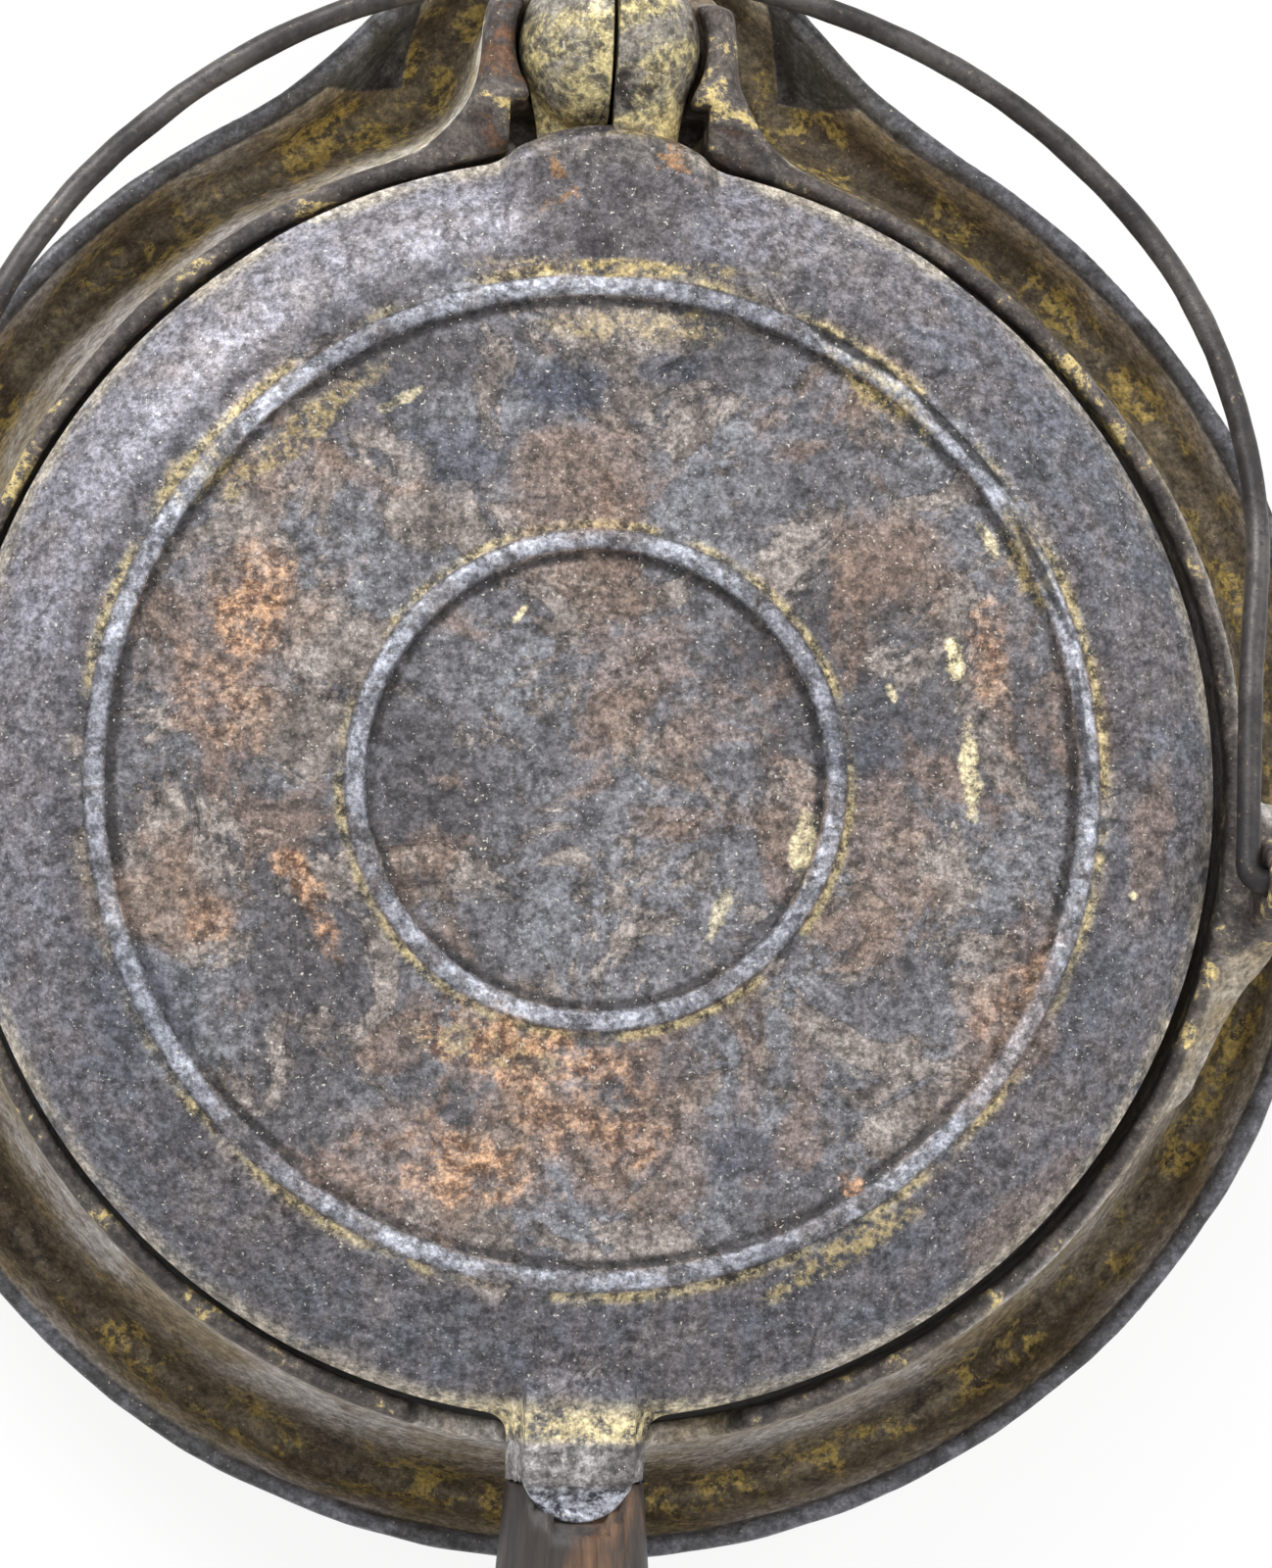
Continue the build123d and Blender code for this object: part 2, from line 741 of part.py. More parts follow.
bail_growth = arm_x / bail_pattern
bail_plane = Plane(origin=(0, pivot_y, pivot_height), x_dir=(1, 0, 0)).rotated((-bail_slope, 0, 0))
right_arm = [
    (tip_x, 0),
    (arm_x, 0),
    (arm_x + bail_spread * bail_growth, bail_shoulder_reach * bail_growth),
    (bail_haunch_x * bail_growth, bail_crown - bail_rise * bail_growth),
]
shoulder_bend, haunch_bend, crown_bend = [bend * bail_growth for bend in bail_bends]
bends = [bail_hook_bend, shoulder_bend, haunch_bend]
with BuildPart() as bail:
    with BuildLine(bail_plane) as wire:
        FilletPolyline(
            *right_arm,
            (0, bail_crown),
            *[(-x, reach) for x, reach in reversed(right_arm)],
            radius=[*bends, crown_bend, *reversed(bends)],
        )
    with BuildSketch(Plane(origin=wire.line @ 0, z_dir=wire.line % 0)):
        Circle(bail_wire_radius)
    sweep(path=wire.line)
bail.part.label = "bail"

os.makedirs("parts", exist_ok=True)
for piece in (
    base, bail, bottom_paddle, top_paddle, hinge_pin,
    bottom_grip, top_grip, bottom_grip_screws, top_grip_screws,
):
    export_step(piece.part, f"parts/{piece.part.label}.step")
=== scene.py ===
import json
import math

import bmesh
import bpy
import numpy as np
from mathutils import Matrix, Vector


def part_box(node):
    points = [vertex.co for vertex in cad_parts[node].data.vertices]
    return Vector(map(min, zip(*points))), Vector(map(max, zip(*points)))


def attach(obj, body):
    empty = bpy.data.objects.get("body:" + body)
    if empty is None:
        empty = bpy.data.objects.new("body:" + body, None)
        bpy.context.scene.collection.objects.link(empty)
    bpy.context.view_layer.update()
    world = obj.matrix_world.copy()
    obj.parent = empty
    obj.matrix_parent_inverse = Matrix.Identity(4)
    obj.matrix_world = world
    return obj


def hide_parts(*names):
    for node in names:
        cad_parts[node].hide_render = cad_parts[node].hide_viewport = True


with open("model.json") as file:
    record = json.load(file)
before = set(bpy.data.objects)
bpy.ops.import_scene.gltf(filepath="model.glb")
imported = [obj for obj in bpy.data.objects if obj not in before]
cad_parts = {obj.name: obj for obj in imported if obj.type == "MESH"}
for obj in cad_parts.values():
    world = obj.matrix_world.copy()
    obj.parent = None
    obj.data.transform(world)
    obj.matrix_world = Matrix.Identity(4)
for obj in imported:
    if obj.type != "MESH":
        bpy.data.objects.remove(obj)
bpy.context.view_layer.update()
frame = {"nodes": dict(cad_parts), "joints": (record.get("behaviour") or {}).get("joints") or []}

print("frame loaded")

mm = 0.001
joints = {joint["name"]: joint for joint in frame["joints"]}
ballCentre = np.array(joints["lid_open"]["pos_m"])
bailPivot = np.array(joints["bail_swing"]["pos_m"])

# Sizes of the paddles, in millimetres, counted from the middle of the mating plane:
# x to the right, y towards the hinge, h outwards from the other paddle.
paddle = {
    "radius": 95.0, "halfGap": 0.15, "edge": 2.4, "face": 10.6, "faceRadius": 77.0, "bulge": 1.9,
    "beadWidth": 3.7, "beadHeight": 1.25, "beads": (35.8, 74.0), "recess": 0.6,
    "cavityRadius": 87.0, "floorRadius": 85.8, "cavityFloor": 6.6,
    "lugHalf": 14.0, "lugCrest": 99.8, "lugArc": 24.5, "lugHeight": 9.0, "lugBlend": 5.0,
    "rootHalf": 10.3, "rootReach": 104.0, "rootBlend": 3.6,
    "tongueHalf": 8.5, "tongueTop": 10.4, "tongueStep": 103.6,
    "tongueReach": 110.4, "tongueArc": 8.84, "noseUnder": 2.8,
    "ballDistance": 112.6, "ballRadius": 14.05, "ballClear": 14.4, "slit": 0.3,
    "lump": 0.16, "grain": 0.05,
}
ringCentre = np.array([0.0, ballCentre[1] - paddle["ballDistance"] * mm, ballCentre[2]])


# 0 below low, 1 above high, with a smooth cubic between.
def smoothRamp(value, low, high):
    t = np.clip((value - low) / (high - low), 0.0, 1.0)
    return t * t * (3 - 2 * t)


# The larger of a and b, rounded over width where they cross.
def softMax(a, b, width):
    t = np.clip(0.5 + 0.5 * (a - b) / width, 0.0, 1.0)
    return b + (a - b) * t + width * t * (1 - t)


def softMin(a, b, width):
    return -softMax(-a, -b, width)


# Smooth noise of about -1 to 1: random values on a cubic lattice of this size, blended.
def lumps(x, y, z, size, seed):
    table = np.random.default_rng(seed).uniform(-1, 1, 4096)
    p = [np.asarray(c) / size + 97.3 for c in (x, y, z)]
    cell = [np.floor(c).astype(np.int64) for c in p]
    t = [c - k for c, k in zip(p, cell)]
    t = [c * c * (3 - 2 * c) for c in t]
    total = 0.0
    for corner in range(8):
        step = [(corner >> axis) & 1 for axis in range(3)]
        key = sum((cell[axis] + step[axis]) * prime for axis, prime in enumerate((73, 1619, 31337)))
        weight = 1.0
        for axis in range(3):
            weight = weight * (t[axis] if step[axis] else 1 - t[axis])
        total = total + weight * table[(key ^ (key >> 5)) % 4096]
    return total


# The slow lumps and the fine grain of sand-cast iron, in millimetres.
def castSkinNoise(x, y, z, seed):
    slow = lumps(x, y, z, 17.0, seed) + 0.6 * lumps(x, y, z, 7.5, seed + 1)
    fine = lumps(x, y, z, 2.6, seed + 2) + 0.6 * lumps(x, y, z, 1.3, seed + 3)
    return paddle["lump"] * slow + paddle["grain"] * fine


# Paddle millimetres to metres in the shared frame. The lower paddle is turned half round Y.
def toWorld(points, lower=False):
    turned = points * ([-1, 1, -1] if lower else [1, 1, 1])
    return turned * mm + ringCentre


# Quads of a grid of rows by columns, whose columns may close on themselves.
def gridFaces(rows, columns, wrapColumns=True):
    last = columns if wrapColumns else columns - 1
    row, column = np.meshgrid(np.arange(rows - 1), np.arange(last), indexing="ij")
    right = (column + 1) % columns
    a = row * columns + column
    b = row * columns + right
    return np.stack([a, b, b + columns, a + columns], axis=-1).reshape(-1, 4)


# Triangles between a ring of vertex numbers and one centre.
def capFan(ring, centre):
    return np.stack([ring, np.roll(ring, -1), np.full_like(ring, centre)], axis=-1)


# A mesh object from arrays of points, quads and triangles, with its faces turned outwards.
def makePiece(name, points, quads, triangles=(), smooth=True):
    mesh = bpy.data.meshes.new(name)
    faces = [list(map(int, f)) for f in quads] + [list(map(int, f)) for f in triangles]
    mesh.from_pydata(np.asarray(points).tolist(), [], faces)
    mesh.validate()
    piece = bpy.data.objects.new(name, mesh)
    bpy.context.scene.collection.objects.link(piece)
    shape = bmesh.new()
    shape.from_mesh(mesh)
    bmesh.ops.recalc_face_normals(shape, faces=shape.faces)
    shape.to_mesh(mesh)
    shape.free()
    mesh.shade_smooth() if smooth else mesh.shade_flat()
    return piece


# Give a new piece its body, its finish and the CAD nodes that it stands for.
def settle(piece, body, material, slot, *nodes):
    piece.data.materials.append(material)
    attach(piece, body)
    if nodes:
        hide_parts(*nodes)


# The paddles.
# The outer face in section: recessed middle, two half-round beads and a swelling shoulder.
def discHeight(r):
    p = paddle
    run, fall = p["radius"] - p["faceRadius"], p["face"] - p["edge"]
    span = math.hypot(run, fall)
    t = np.clip((r - p["faceRadius"]) / run, 0, 1)
    shoulder = p["face"] - fall * t + p["bulge"] * (span / run) * 4 * t * (1 - t)
    shoulder = shoulder - 0.9 * smoothRamp(r, 92.6, 95.0) ** 2
    h = softMin(shoulder, np.full_like(r, p["face"]) + 0.5 * smoothRamp(r, 60, 30), 0.6)
    h = h - p["recess"] * smoothRamp(r, 34.6, 33.6) - 0.5 * smoothRamp(r, 34, 0) ** 2
    for bead in p["beads"]:
        across = np.clip(np.abs(r - bead) / (p["beadWidth"] / 2), 0, 1)
        h = h + p["beadHeight"] * np.sqrt(1 - across**2) ** 1.25
    groove = np.exp(-(((r - p["beads"][1] + 2.2) / 0.55) ** 2))
    return h - 0.28 * groove


# The lug: a broad level dome behind the bead, falling away at its sides and its crest.
def lugHeight(x, y):
    p = paddle
    side = p["lugHalf"] + 2.5 - np.abs(x)
    crest = p["lugCrest"] - (x / p["lugArc"]) ** 2 * p["lugArc"] / 2 - y
    inward = softMin(side, crest, 3.0)
    rim = np.clip(inward / 3.4, 0, 1)
    top = p["lugHeight"] + 0.4 * smoothRamp(np.abs(x), 9, 0)
    return top - 6.2 * (1 - np.sqrt(1 - (1 - rim) ** 2)) - 9 * smoothRamp(y, 82, 72)


# The half-round root of the handle and the tongue on it, whose nose curls down to a lip.
def rootHeight(x, y):
    p = paddle
    out = -y
    halfRound = np.sqrt(np.clip(p["rootHalf"] ** 2 - x**2, 0.01, None))
    halfRound = np.where(out < p["rootReach"], halfRound, 0.3)
    halfRound = halfRound - 12 * smoothRamp(out, 90, 80)
    side = np.hypot(x, np.maximum(out - (p["tongueReach"] - p["tongueArc"]), 0))
    wall = smoothRamp(side, p["tongueArc"] + 0.12, p["tongueArc"] - 0.75)
    top = p["tongueTop"] - 0.25 * (x / p["tongueHalf"]) ** 2
    hump = 0.35 * np.exp(-(((out - 102.2) / 1.3) ** 2))
    fall = smoothRamp(out, p["tongueStep"] - 1.2, p["tongueReach"] - 2.4)
    lipRise = 0.5 * np.exp(-(((side - p["tongueArc"] + 1.2) / 0.8) ** 2)) * smoothRamp(out, 105, 107)
    tongue = top + hump - 3.2 * fall + lipRise
    return softMax(halfRound, tongue * wall - 12 * smoothRamp(out, 92, 80), 0.35)


# Signed distance outside the plan: disc, lug and handle root, with soft inner corners.
def outlineDistance(x, y):
    p = paddle
    disc = np.hypot(x, y) - p["radius"]
    lugDisc = np.hypot(x, y - (p["lugCrest"] - p["lugArc"])) - p["lugArc"]
    lug = softMax(np.abs(x) - p["lugHalf"], lugDisc, 3.0)
    root = np.maximum(np.abs(x) - p["rootHalf"], -y - p["rootReach"])
    root = np.maximum(root, y + 60)
    nose = np.hypot(x, y + p["tongueReach"] - p["tongueArc"]) - p["tongueArc"]
    nose = np.maximum(nose, y + 100)
    plan = softMin(disc, np.maximum(lug, 60 - y), p["lugBlend"])
    plan = softMin(plan, root, p["rootBlend"])
    return np.minimum(plan, nose)


# How far the plan reaches in each direction, by halving the interval.
def outlineRadius(angle):
    low, high = np.full_like(angle, 90.0), np.full_like(angle, 114.0)
    for _ in range(30):
        middle = (low + high) / 2
        inside = outlineDistance(middle * np.cos(angle), middle * np.sin(angle)) < 0
        low, high = np.where(inside, middle, low), np.where(inside, high, middle)
    return (low + high) / 2


# Angles round the disc, closer together at the handle and at the lug.
def crowdedAngles(count):
    fine = np.linspace(0, 2 * np.pi, 7201)
    handle = np.exp(-(((fine - 1.5 * np.pi) / math.radians(6.6)) ** 6))
    lug = np.exp(-(((fine - 0.5 * np.pi) / math.radians(11)) ** 6))
    density = 1 + 4.5 * handle + 1.6 * lug
    total = np.concatenate([[0], np.cumsum((density[1:] + density[:-1]) / 2)])
    return np.interp(np.arange(count) / count, total / total[-1], fine)


def beadRows(bead):
    return bead + np.linspace(-1.06, 1.06, 15) * paddle["beadWidth"] / 2


# One closed skin: the outer face from its middle to the outline, down the edge, in along the
# mating face, down the cavity's wall and over its floor to the middle again.
def paddleShell(name, lower, seed):
    p = paddle
    angle = crowdedAngles(540)
    reach = outlineRadius(angle)
    inner = np.concatenate([
        np.linspace(1.6, 32.6, 20), beadRows(p["beads"][0]), np.linspace(39.2, 70.8, 24),
        beadRows(p["beads"][1]), np.linspace(77.2, 84, 7),
    ])
    rows, heights = [], []
    for r in inner:
        rows.append(np.full_like(angle, r))
        heights.append(None)
    for t in np.linspace(0, 1, 25)[1:]:
        rows.append(84 + (reach - 84) * (1 - (1 - t) ** 1.35))
        heights.append(None)
    radius = np.array(rows)
    x, y = radius * np.cos(angle), radius * np.sin(angle)
    h = softMax(discHeight(np.hypot(x, y)), lugHeight(x, y), 2.6)
    h = softMax(h, rootHeight(x, y), 1.0)
    noise = castSkinNoise(x, y, h * 0 + (40 if lower else 0), seed)
    h = h + noise * smoothRamp(-outlineDistance(x, y), 0.0, 2.0)
    edgeTop = h[-1]
    wallRows = []
    for share in (0.82, 0.5, 0.2, 0.0):
        wallRows.append((reach + 0.12 * math.sin(share * np.pi), p["halfGap"] + share * (edgeTop - p["halfGap"])))
    for r, level in (
        (reach - 0.4, p["halfGap"]), (np.full_like(angle, 88.6), p["halfGap"]),
        (np.full_like(angle, p["cavityRadius"]), p["halfGap"] + 0.25),
        (np.full_like(angle, 86.4), 3.4), (np.full_like(angle, 86.0), 5.6),
        (np.full_like(angle, 85.2), p["cavityFloor"] - 0.15),
        (np.full_like(angle, 83.6), p["cavityFloor"]), (np.full_like(angle, 60.0), p["cavityFloor"]),
        (np.full_like(angle, 30.0), p["cavityFloor"]), (np.full_like(angle, 2.0), p["cavityFloor"]),
    ):
        wallRows.append((r, np.full_like(angle, level)))
    radius = np.vstack([radius, [r for r, _ in wallRows]])
    h = np.vstack([h, [np.broadcast_to(level, angle.shape) for _, level in wallRows]])
    x, y = radius * np.cos(angle), radius * np.sin(angle)
    h = np.where(y < -p["rootReach"] - 0.1, np.maximum(h, p["noseUnder"]), h)
    away = np.sqrt(np.clip(p["ballClear"] ** 2 - h**2, 0, None))
    y = np.where((x < p["slit"]) & (y > 90), np.minimum(y, p["ballDistance"] - away), y)
    points = np.stack([x, y, h], axis=-1).reshape(-1, 3)
    count = len(angle)
    top, floor = len(points), len(points) + 1
    points = np.vstack([points, [[0, 0, discHeight(np.zeros(1))[0]], [0, 0, p["cavityFloor"]]]])
    quads = gridFaces(len(radius), count)
    fans = np.vstack([
        capFan(np.arange(count), top)[:, ::-1],
        capFan(np.arange(count) + (len(radius) - 1) * count, floor),
    ])
    return makePiece(name, toWorld(points, lower), quads, fans)


waffle = {
    "base": 7.4, "tip": 5.6, "gap": 4.2, "rib": 3.2, "top": 2.3, "margin": 2.0,
    "corner": 0.9,
}


# Points round a square of this half width whose corners have this radius.
def roundedSquare(half, corner, count=20):
    turn = np.arange(count) * 2 * np.pi / count + np.pi / count
    c, s = np.cos(turn), np.sin(turn)
    reach = 1 / np.maximum(np.abs(c), np.abs(s))
    square = np.stack([c * reach, s * reach], axis=-1)
    circle = np.stack([c, s], axis=-1)
    share = corner / half
    inside = np.clip(square, -(1 - share), 1 - share)
    outward = square - inside
    length = np.linalg.norm(outward, axis=-1, keepdims=True)
    outward = np.where(length > 1e-9, outward / np.maximum(length, 1e-9), circle)
    return (inside + outward * share) * half


# Tapered pegs on a square pitch in each quarter, and the cross between the quarters.
def wafflePattern(name, lower):
    w, p = waffle, paddle
    first = w["rib"] / 2 + w["gap"] + w["base"] / 2
    pitch = w["base"] + w["gap"]
    room = p["floorRadius"] - w["margin"]
    steps = first + pitch * np.arange(8)
    gx, gy = np.meshgrid(steps, steps)
    keep = np.hypot(gx + w["base"] / 2, gy + w["base"] / 2) <= room
    quarter = np.stack([gx[keep], gy[keep]], axis=-1)
    places = np.vstack([quarter * [sx, sy] for sx in (1, -1) for sy in (1, -1)])
    rise = p["cavityFloor"] - w["top"]
    rings = [(-0.08, 0.0), (0.0, 0.55), (0.08, 0.2), (0.5, 0.0), (0.86, 0.0), (0.96, -0.22), (1.0, -0.75)]
    section = []
    for share, spread in rings:
        half = (w["base"] + (w["tip"] - w["base"]) * max(share, 0)) / 2 + spread
        ring = roundedSquare(half, w["corner"])
        level = p["cavityFloor"] - share * rise
        section.append(np.column_stack([ring, np.full(len(ring), level)]))
    peg = np.vstack(section)
    count, size = len(section[0]), len(peg)
    quads = gridFaces(len(rings), count)
    fans = np.vstack([
        capFan(np.arange(count), size), capFan(np.arange(count) + (len(rings) - 1) * count, size + 1)[:, ::-1],
    ])
    peg = np.vstack([peg, [[0, 0, p["cavityFloor"] + 0.08 * rise], [0, 0, w["top"]]]])
    points = (peg[None] + np.column_stack([places, np.zeros(len(places))])[:, None]).reshape(-1, 3)
    shift = (np.arange(len(places)) * len(peg))[:, None, None]
    allQuads = (quads[None] + shift).reshape(-1, 4)
    allFans = (fans[None] + shift).reshape(-1, 3)
    profile = np.array([
        (-0.72, 0.2), (-0.62, 0.0), (-0.56, -0.5), (-0.5, -rise + 0.5), (-0.34, -rise), (0.34, -rise),
        (0.5, -rise + 0.5), (0.56, -0.5), (0.62, 0.0), (0.72, 0.2),
    ]) * [w["rib"], 1]
    for turn in (0, 1):
        base = len(points)
        ends = np.array([-86.2, 86.2])
        bar = np.array([[e, across, p["cavityFloor"] + level] for e in ends for across, level in profile])
        bar = bar[:, [1, 0, 2]] if turn else bar
        n = len(profile)
        points = np.vstack([points, bar])
        allQuads = np.vstack([allQuads, gridFaces(2, n) + base])
        middle = len(points)
        centres = np.array([[e, 0, p["cavityFloor"] - 1.5] for e in ends])
        points = np.vstack([points, centres[:, [1, 0, 2]] if turn else centres])
        allFans = np.vstack([
            allFans, capFan(np.arange(n) + base, middle)[:, ::-1], capFan(np.arange(n) + base + n, middle + 1),
        ])
    return makePiece(name, toWorld(points, lower), allQuads, allFans)


# The right half of the ball: circles round the X axis, with a rounded edge at the slit.
def ballHalf(name, lower, seed):
    p = paddle
    edge = math.acos((p["slit"] + 0.45) / p["ballRadius"])
    profile = [(p["slit"], 0.35), (p["slit"], 0.7), (p["slit"] + 0.02, 0.93)]
    profile = [(a, b * p["ballRadius"]) for a, b in profile]
    profile += [(p["slit"] + 0.12, p["ballRadius"] - 0.22), (p["slit"] + 0.28, p["ballRadius"] - 0.06)]
    profile += [
        (p["ballRadius"] * math.cos(t), p["ballRadius"] * math.sin(t))
        for t in np.linspace(edge, 0.03, 26)
    ]
    profile = np.array(profile)
    turn = np.arange(88) * 2 * np.pi / 88
    across, radius = profile[:, :1], profile[:, 1:]
    x = across + 0 * turn
    y, h = radius * np.cos(turn), radius * np.sin(turn)
    dent = castSkinNoise(x, y + 200, h, seed) * 0.7 - 0.16
    scale = 1 + dent / p["ballRadius"] * smoothRamp(x, 0.4, 2.0)
    points = np.stack([x * scale, y * scale, h * scale], axis=-1).reshape(-1, 3)
    count, size = len(turn), len(profile) * len(turn)
    points = np.vstack([points, [[p["slit"], 0, 0], [p["ballRadius"] - 0.15, 0, 0]]])
    points = points + [0, p["ballDistance"], 0]
    fans = np.vstack([
        capFan(np.arange(count), size), capFan(np.arange(count) + size - count, size + 1)[:, ::-1],
    ])
    return makePiece(name, toWorld(points, lower), gridFaces(len(profile), count), fans)


# The right half of the short neck: a half round that swells from the lug's crest into the ball.
neck = {"from": 97.0, "reach": 9.5, "low": 7.6, "high": 12.6, "narrow": 10.6, "wide": 12.2}


def neckBlock(name, lower):
    p, n = paddle, neck
    share = np.linspace(0, 1, 16)[:, None]
    along = n["from"] + n["reach"] * share
    half = n["narrow"] + (n["wide"] - n["narrow"]) * share**1.5
    rise = n["low"] + (n["high"] - n["low"]) * share**1.1
    turn = np.linspace(0, np.pi / 2, 18)[None]
    x = np.maximum(half * np.cos(turn) ** 0.8, p["slit"])
    h = np.maximum(rise * np.sin(turn) ** 0.9, p["halfGap"])
    x, h = np.hstack([x, 0 * half + p["slit"]]), np.hstack([h, 0 * half + p["halfGap"]])
    y = along + 0 * x
    points = np.stack([x, y, h], axis=-1).reshape(-1, 3)
    count, middle = x.shape[1], x.size
    points = np.vstack([points, [[4, n["from"], 3], [4, n["from"] + n["reach"], 4]]])
    fans = np.vstack([
        capFan(np.arange(count), middle), capFan(np.arange(count) + middle - count, middle + 1)[:, ::-1],
    ])
    return makePiece(name, toWorld(points, lower), gridFaces(len(along), count), fans)


# The ring base, in millimetres from the ring's middle, with z from the stove.
ring = {
    "rim": 119.6, "rimHeight": 24.0, "flare": 4.0, "wall": 3.0, "floor": 4.5, "lobe": 31.4, "lobeBlend": 30.0,
    "top": 47.8, "inner": ((48.0, 96.3), (24.0, 98.6), (0.0, 104.0)),
    "outer": ((48.0, 99.5), (27.0, 103.2), (4.5, 112.6)), "aside": 1.25,
    "cheek": 19.4, "cheekTop": 53.0, "backRadius": 21.14, "backShift": 3.54, "backTop": 43.4,
    "seat": 14.35, "bore": 14.75, "slot": 12.2, "lugSlot": 15.2, "lugFloor": 37.0, "lugGap": 1.1,
    "saddle": 10.6, "dipLevel": 40.2, "dipInner": 20.5, "dipOuter": 28.0,
    "earInner": 100.8, "earOuter": 105.4, "earHalf": 5.5, "earHole": 2.35, "pivotY": -12.5, "pivotZ": 59.0,
    "step": 1.3, "lump": 0.22, "grain": 0.06,
}


# A smooth curve through three heights and radii.
def through(points, z):
    heights, radii = zip(*points)
    return np.polyval(np.polyfit(heights, radii, 2), z)


# How far a point lies outside the ring base: negative inside, so that its surface is where this is 0.
# Each form is a distance of its own, and neighbours melt into each other over a stated width.
def baseDistance(x, y, z):
    b = ring
    behind = y - paddle["ballDistance"]
    shifted = x - b["aside"] * smoothRamp(y, 95, 30)
    r = np.hypot(shifted, y)
    outline = softMin(r - b["rim"], np.hypot(x, behind) - b["lobe"], b["lobeBlend"])
    wall = outline + b["flare"] * (1 - z / b["rimHeight"])
    pan = softMax(softMax(wall, z - b["rimHeight"], 2.2), -z, 0.8)
    pan = softMax(pan, -softMax(wall + b["wall"], b["floor"] - z, 9.0), 1.6)
    inner = through(b["inner"], z)
    collar = softMax(softMax(inner - r, r - through(b["outer"], z), 1.0), z - b["top"], 2.0)
    body = softMin(pan, collar, 7.0)
    side = softMax(np.abs(x) - b["cheek"], np.hypot(x, np.maximum(behind + b["backShift"], 0)) - b["backRadius"], 2.0)
    level = b["top"] + 0.2 + (b["cheekTop"] - b["top"]) * smoothRamp(behind, -19, -8)
    level = level - (b["cheekTop"] - b["backTop"]) * smoothRamp(behind, 5.0, 9.5)
    tower = softMax(side, z - level + 0.5 * np.maximum(np.abs(x) - 17.0, 0), 2.4)
    tower = softMax(tower, -behind - 26, 2.0)
    body = softMin(body, tower, 15.0)
    sideX, lift = np.abs(x), z - b["pivotZ"]
    along = y - b["pivotY"]
    spread = b["earHalf"] + np.maximum(-lift - 3, 0) * np.where(along < 0, 0.35, 0.2)
    plate = softMax(np.hypot(along * b["earHalf"] / spread, np.maximum(lift, 0)) - b["earHalf"], 25 - z, 2.0)
    plate = softMax(plate, np.abs(sideX - (b["earInner"] + b["earOuter"]) / 2) - (b["earOuter"] - b["earInner"]) / 2, 1.4)
    body = softMin(body, plate, 5.0)
    gusset = (sideX - b["earOuter"]) * 0.933 - (along + 5.5) * 0.36
    gusset = softMax(gusset, np.maximum(-along - 34, along - 12), 4.0)
    gusset = softMax(gusset, (z - 46 - 0.34 * np.minimum(along + 5, 0)) * 0.94, 3.0)
    body = softMax(softMin(body, softMax(gusset, 6 - z, 2.0), 6.0), -z, 0.8)
    body = softMax(body, b["earHole"] - np.hypot(along, lift), 0.6)
    middle = np.hypot(x, y)
    body = np.maximum(body, np.where((y < 88) | (z > b["lugFloor"] + 10), 96.0 + (inner - 96.3) - middle, -9))
    body = softMax(body, inner - r + np.where(y > 84, -3 * smoothRamp(y, 84, 92), 0), 0.8)
    seat = np.where(z < 48, np.sqrt(x**2 + behind**2 + (z - 48) ** 2) - b["seat"], np.hypot(x, behind) - b["bore"])
    low = np.minimum(z - 48, 0)
    slot = np.maximum(np.hypot(x, low) - b["slot"], behind)
    lugSlot = np.maximum(np.maximum(sideX - b["lugSlot"], b["lugFloor"] - z), behind + 9.5)
    lugSlot = np.minimum(lugSlot, np.maximum(outlineDistance(x, y) - b["lugGap"], b["lugFloor"] - z))
    lugSlot = np.maximum(lugSlot, -y)
    for void in (seat, slot, lugSlot):
        body = softMax(body, -void, 1.0)
    dip = b["dipLevel"] + (b["top"] + 2 - b["dipLevel"]) * smoothRamp(sideX, b["dipInner"], b["dipOuter"])
    notch = np.minimum(np.hypot(x, low) - b["saddle"], softMax(dip - z, b["saddle"] + 1.2 - sideX, 2.0))
    return softMax(body, -np.maximum(notch, y + 80), 1.4)


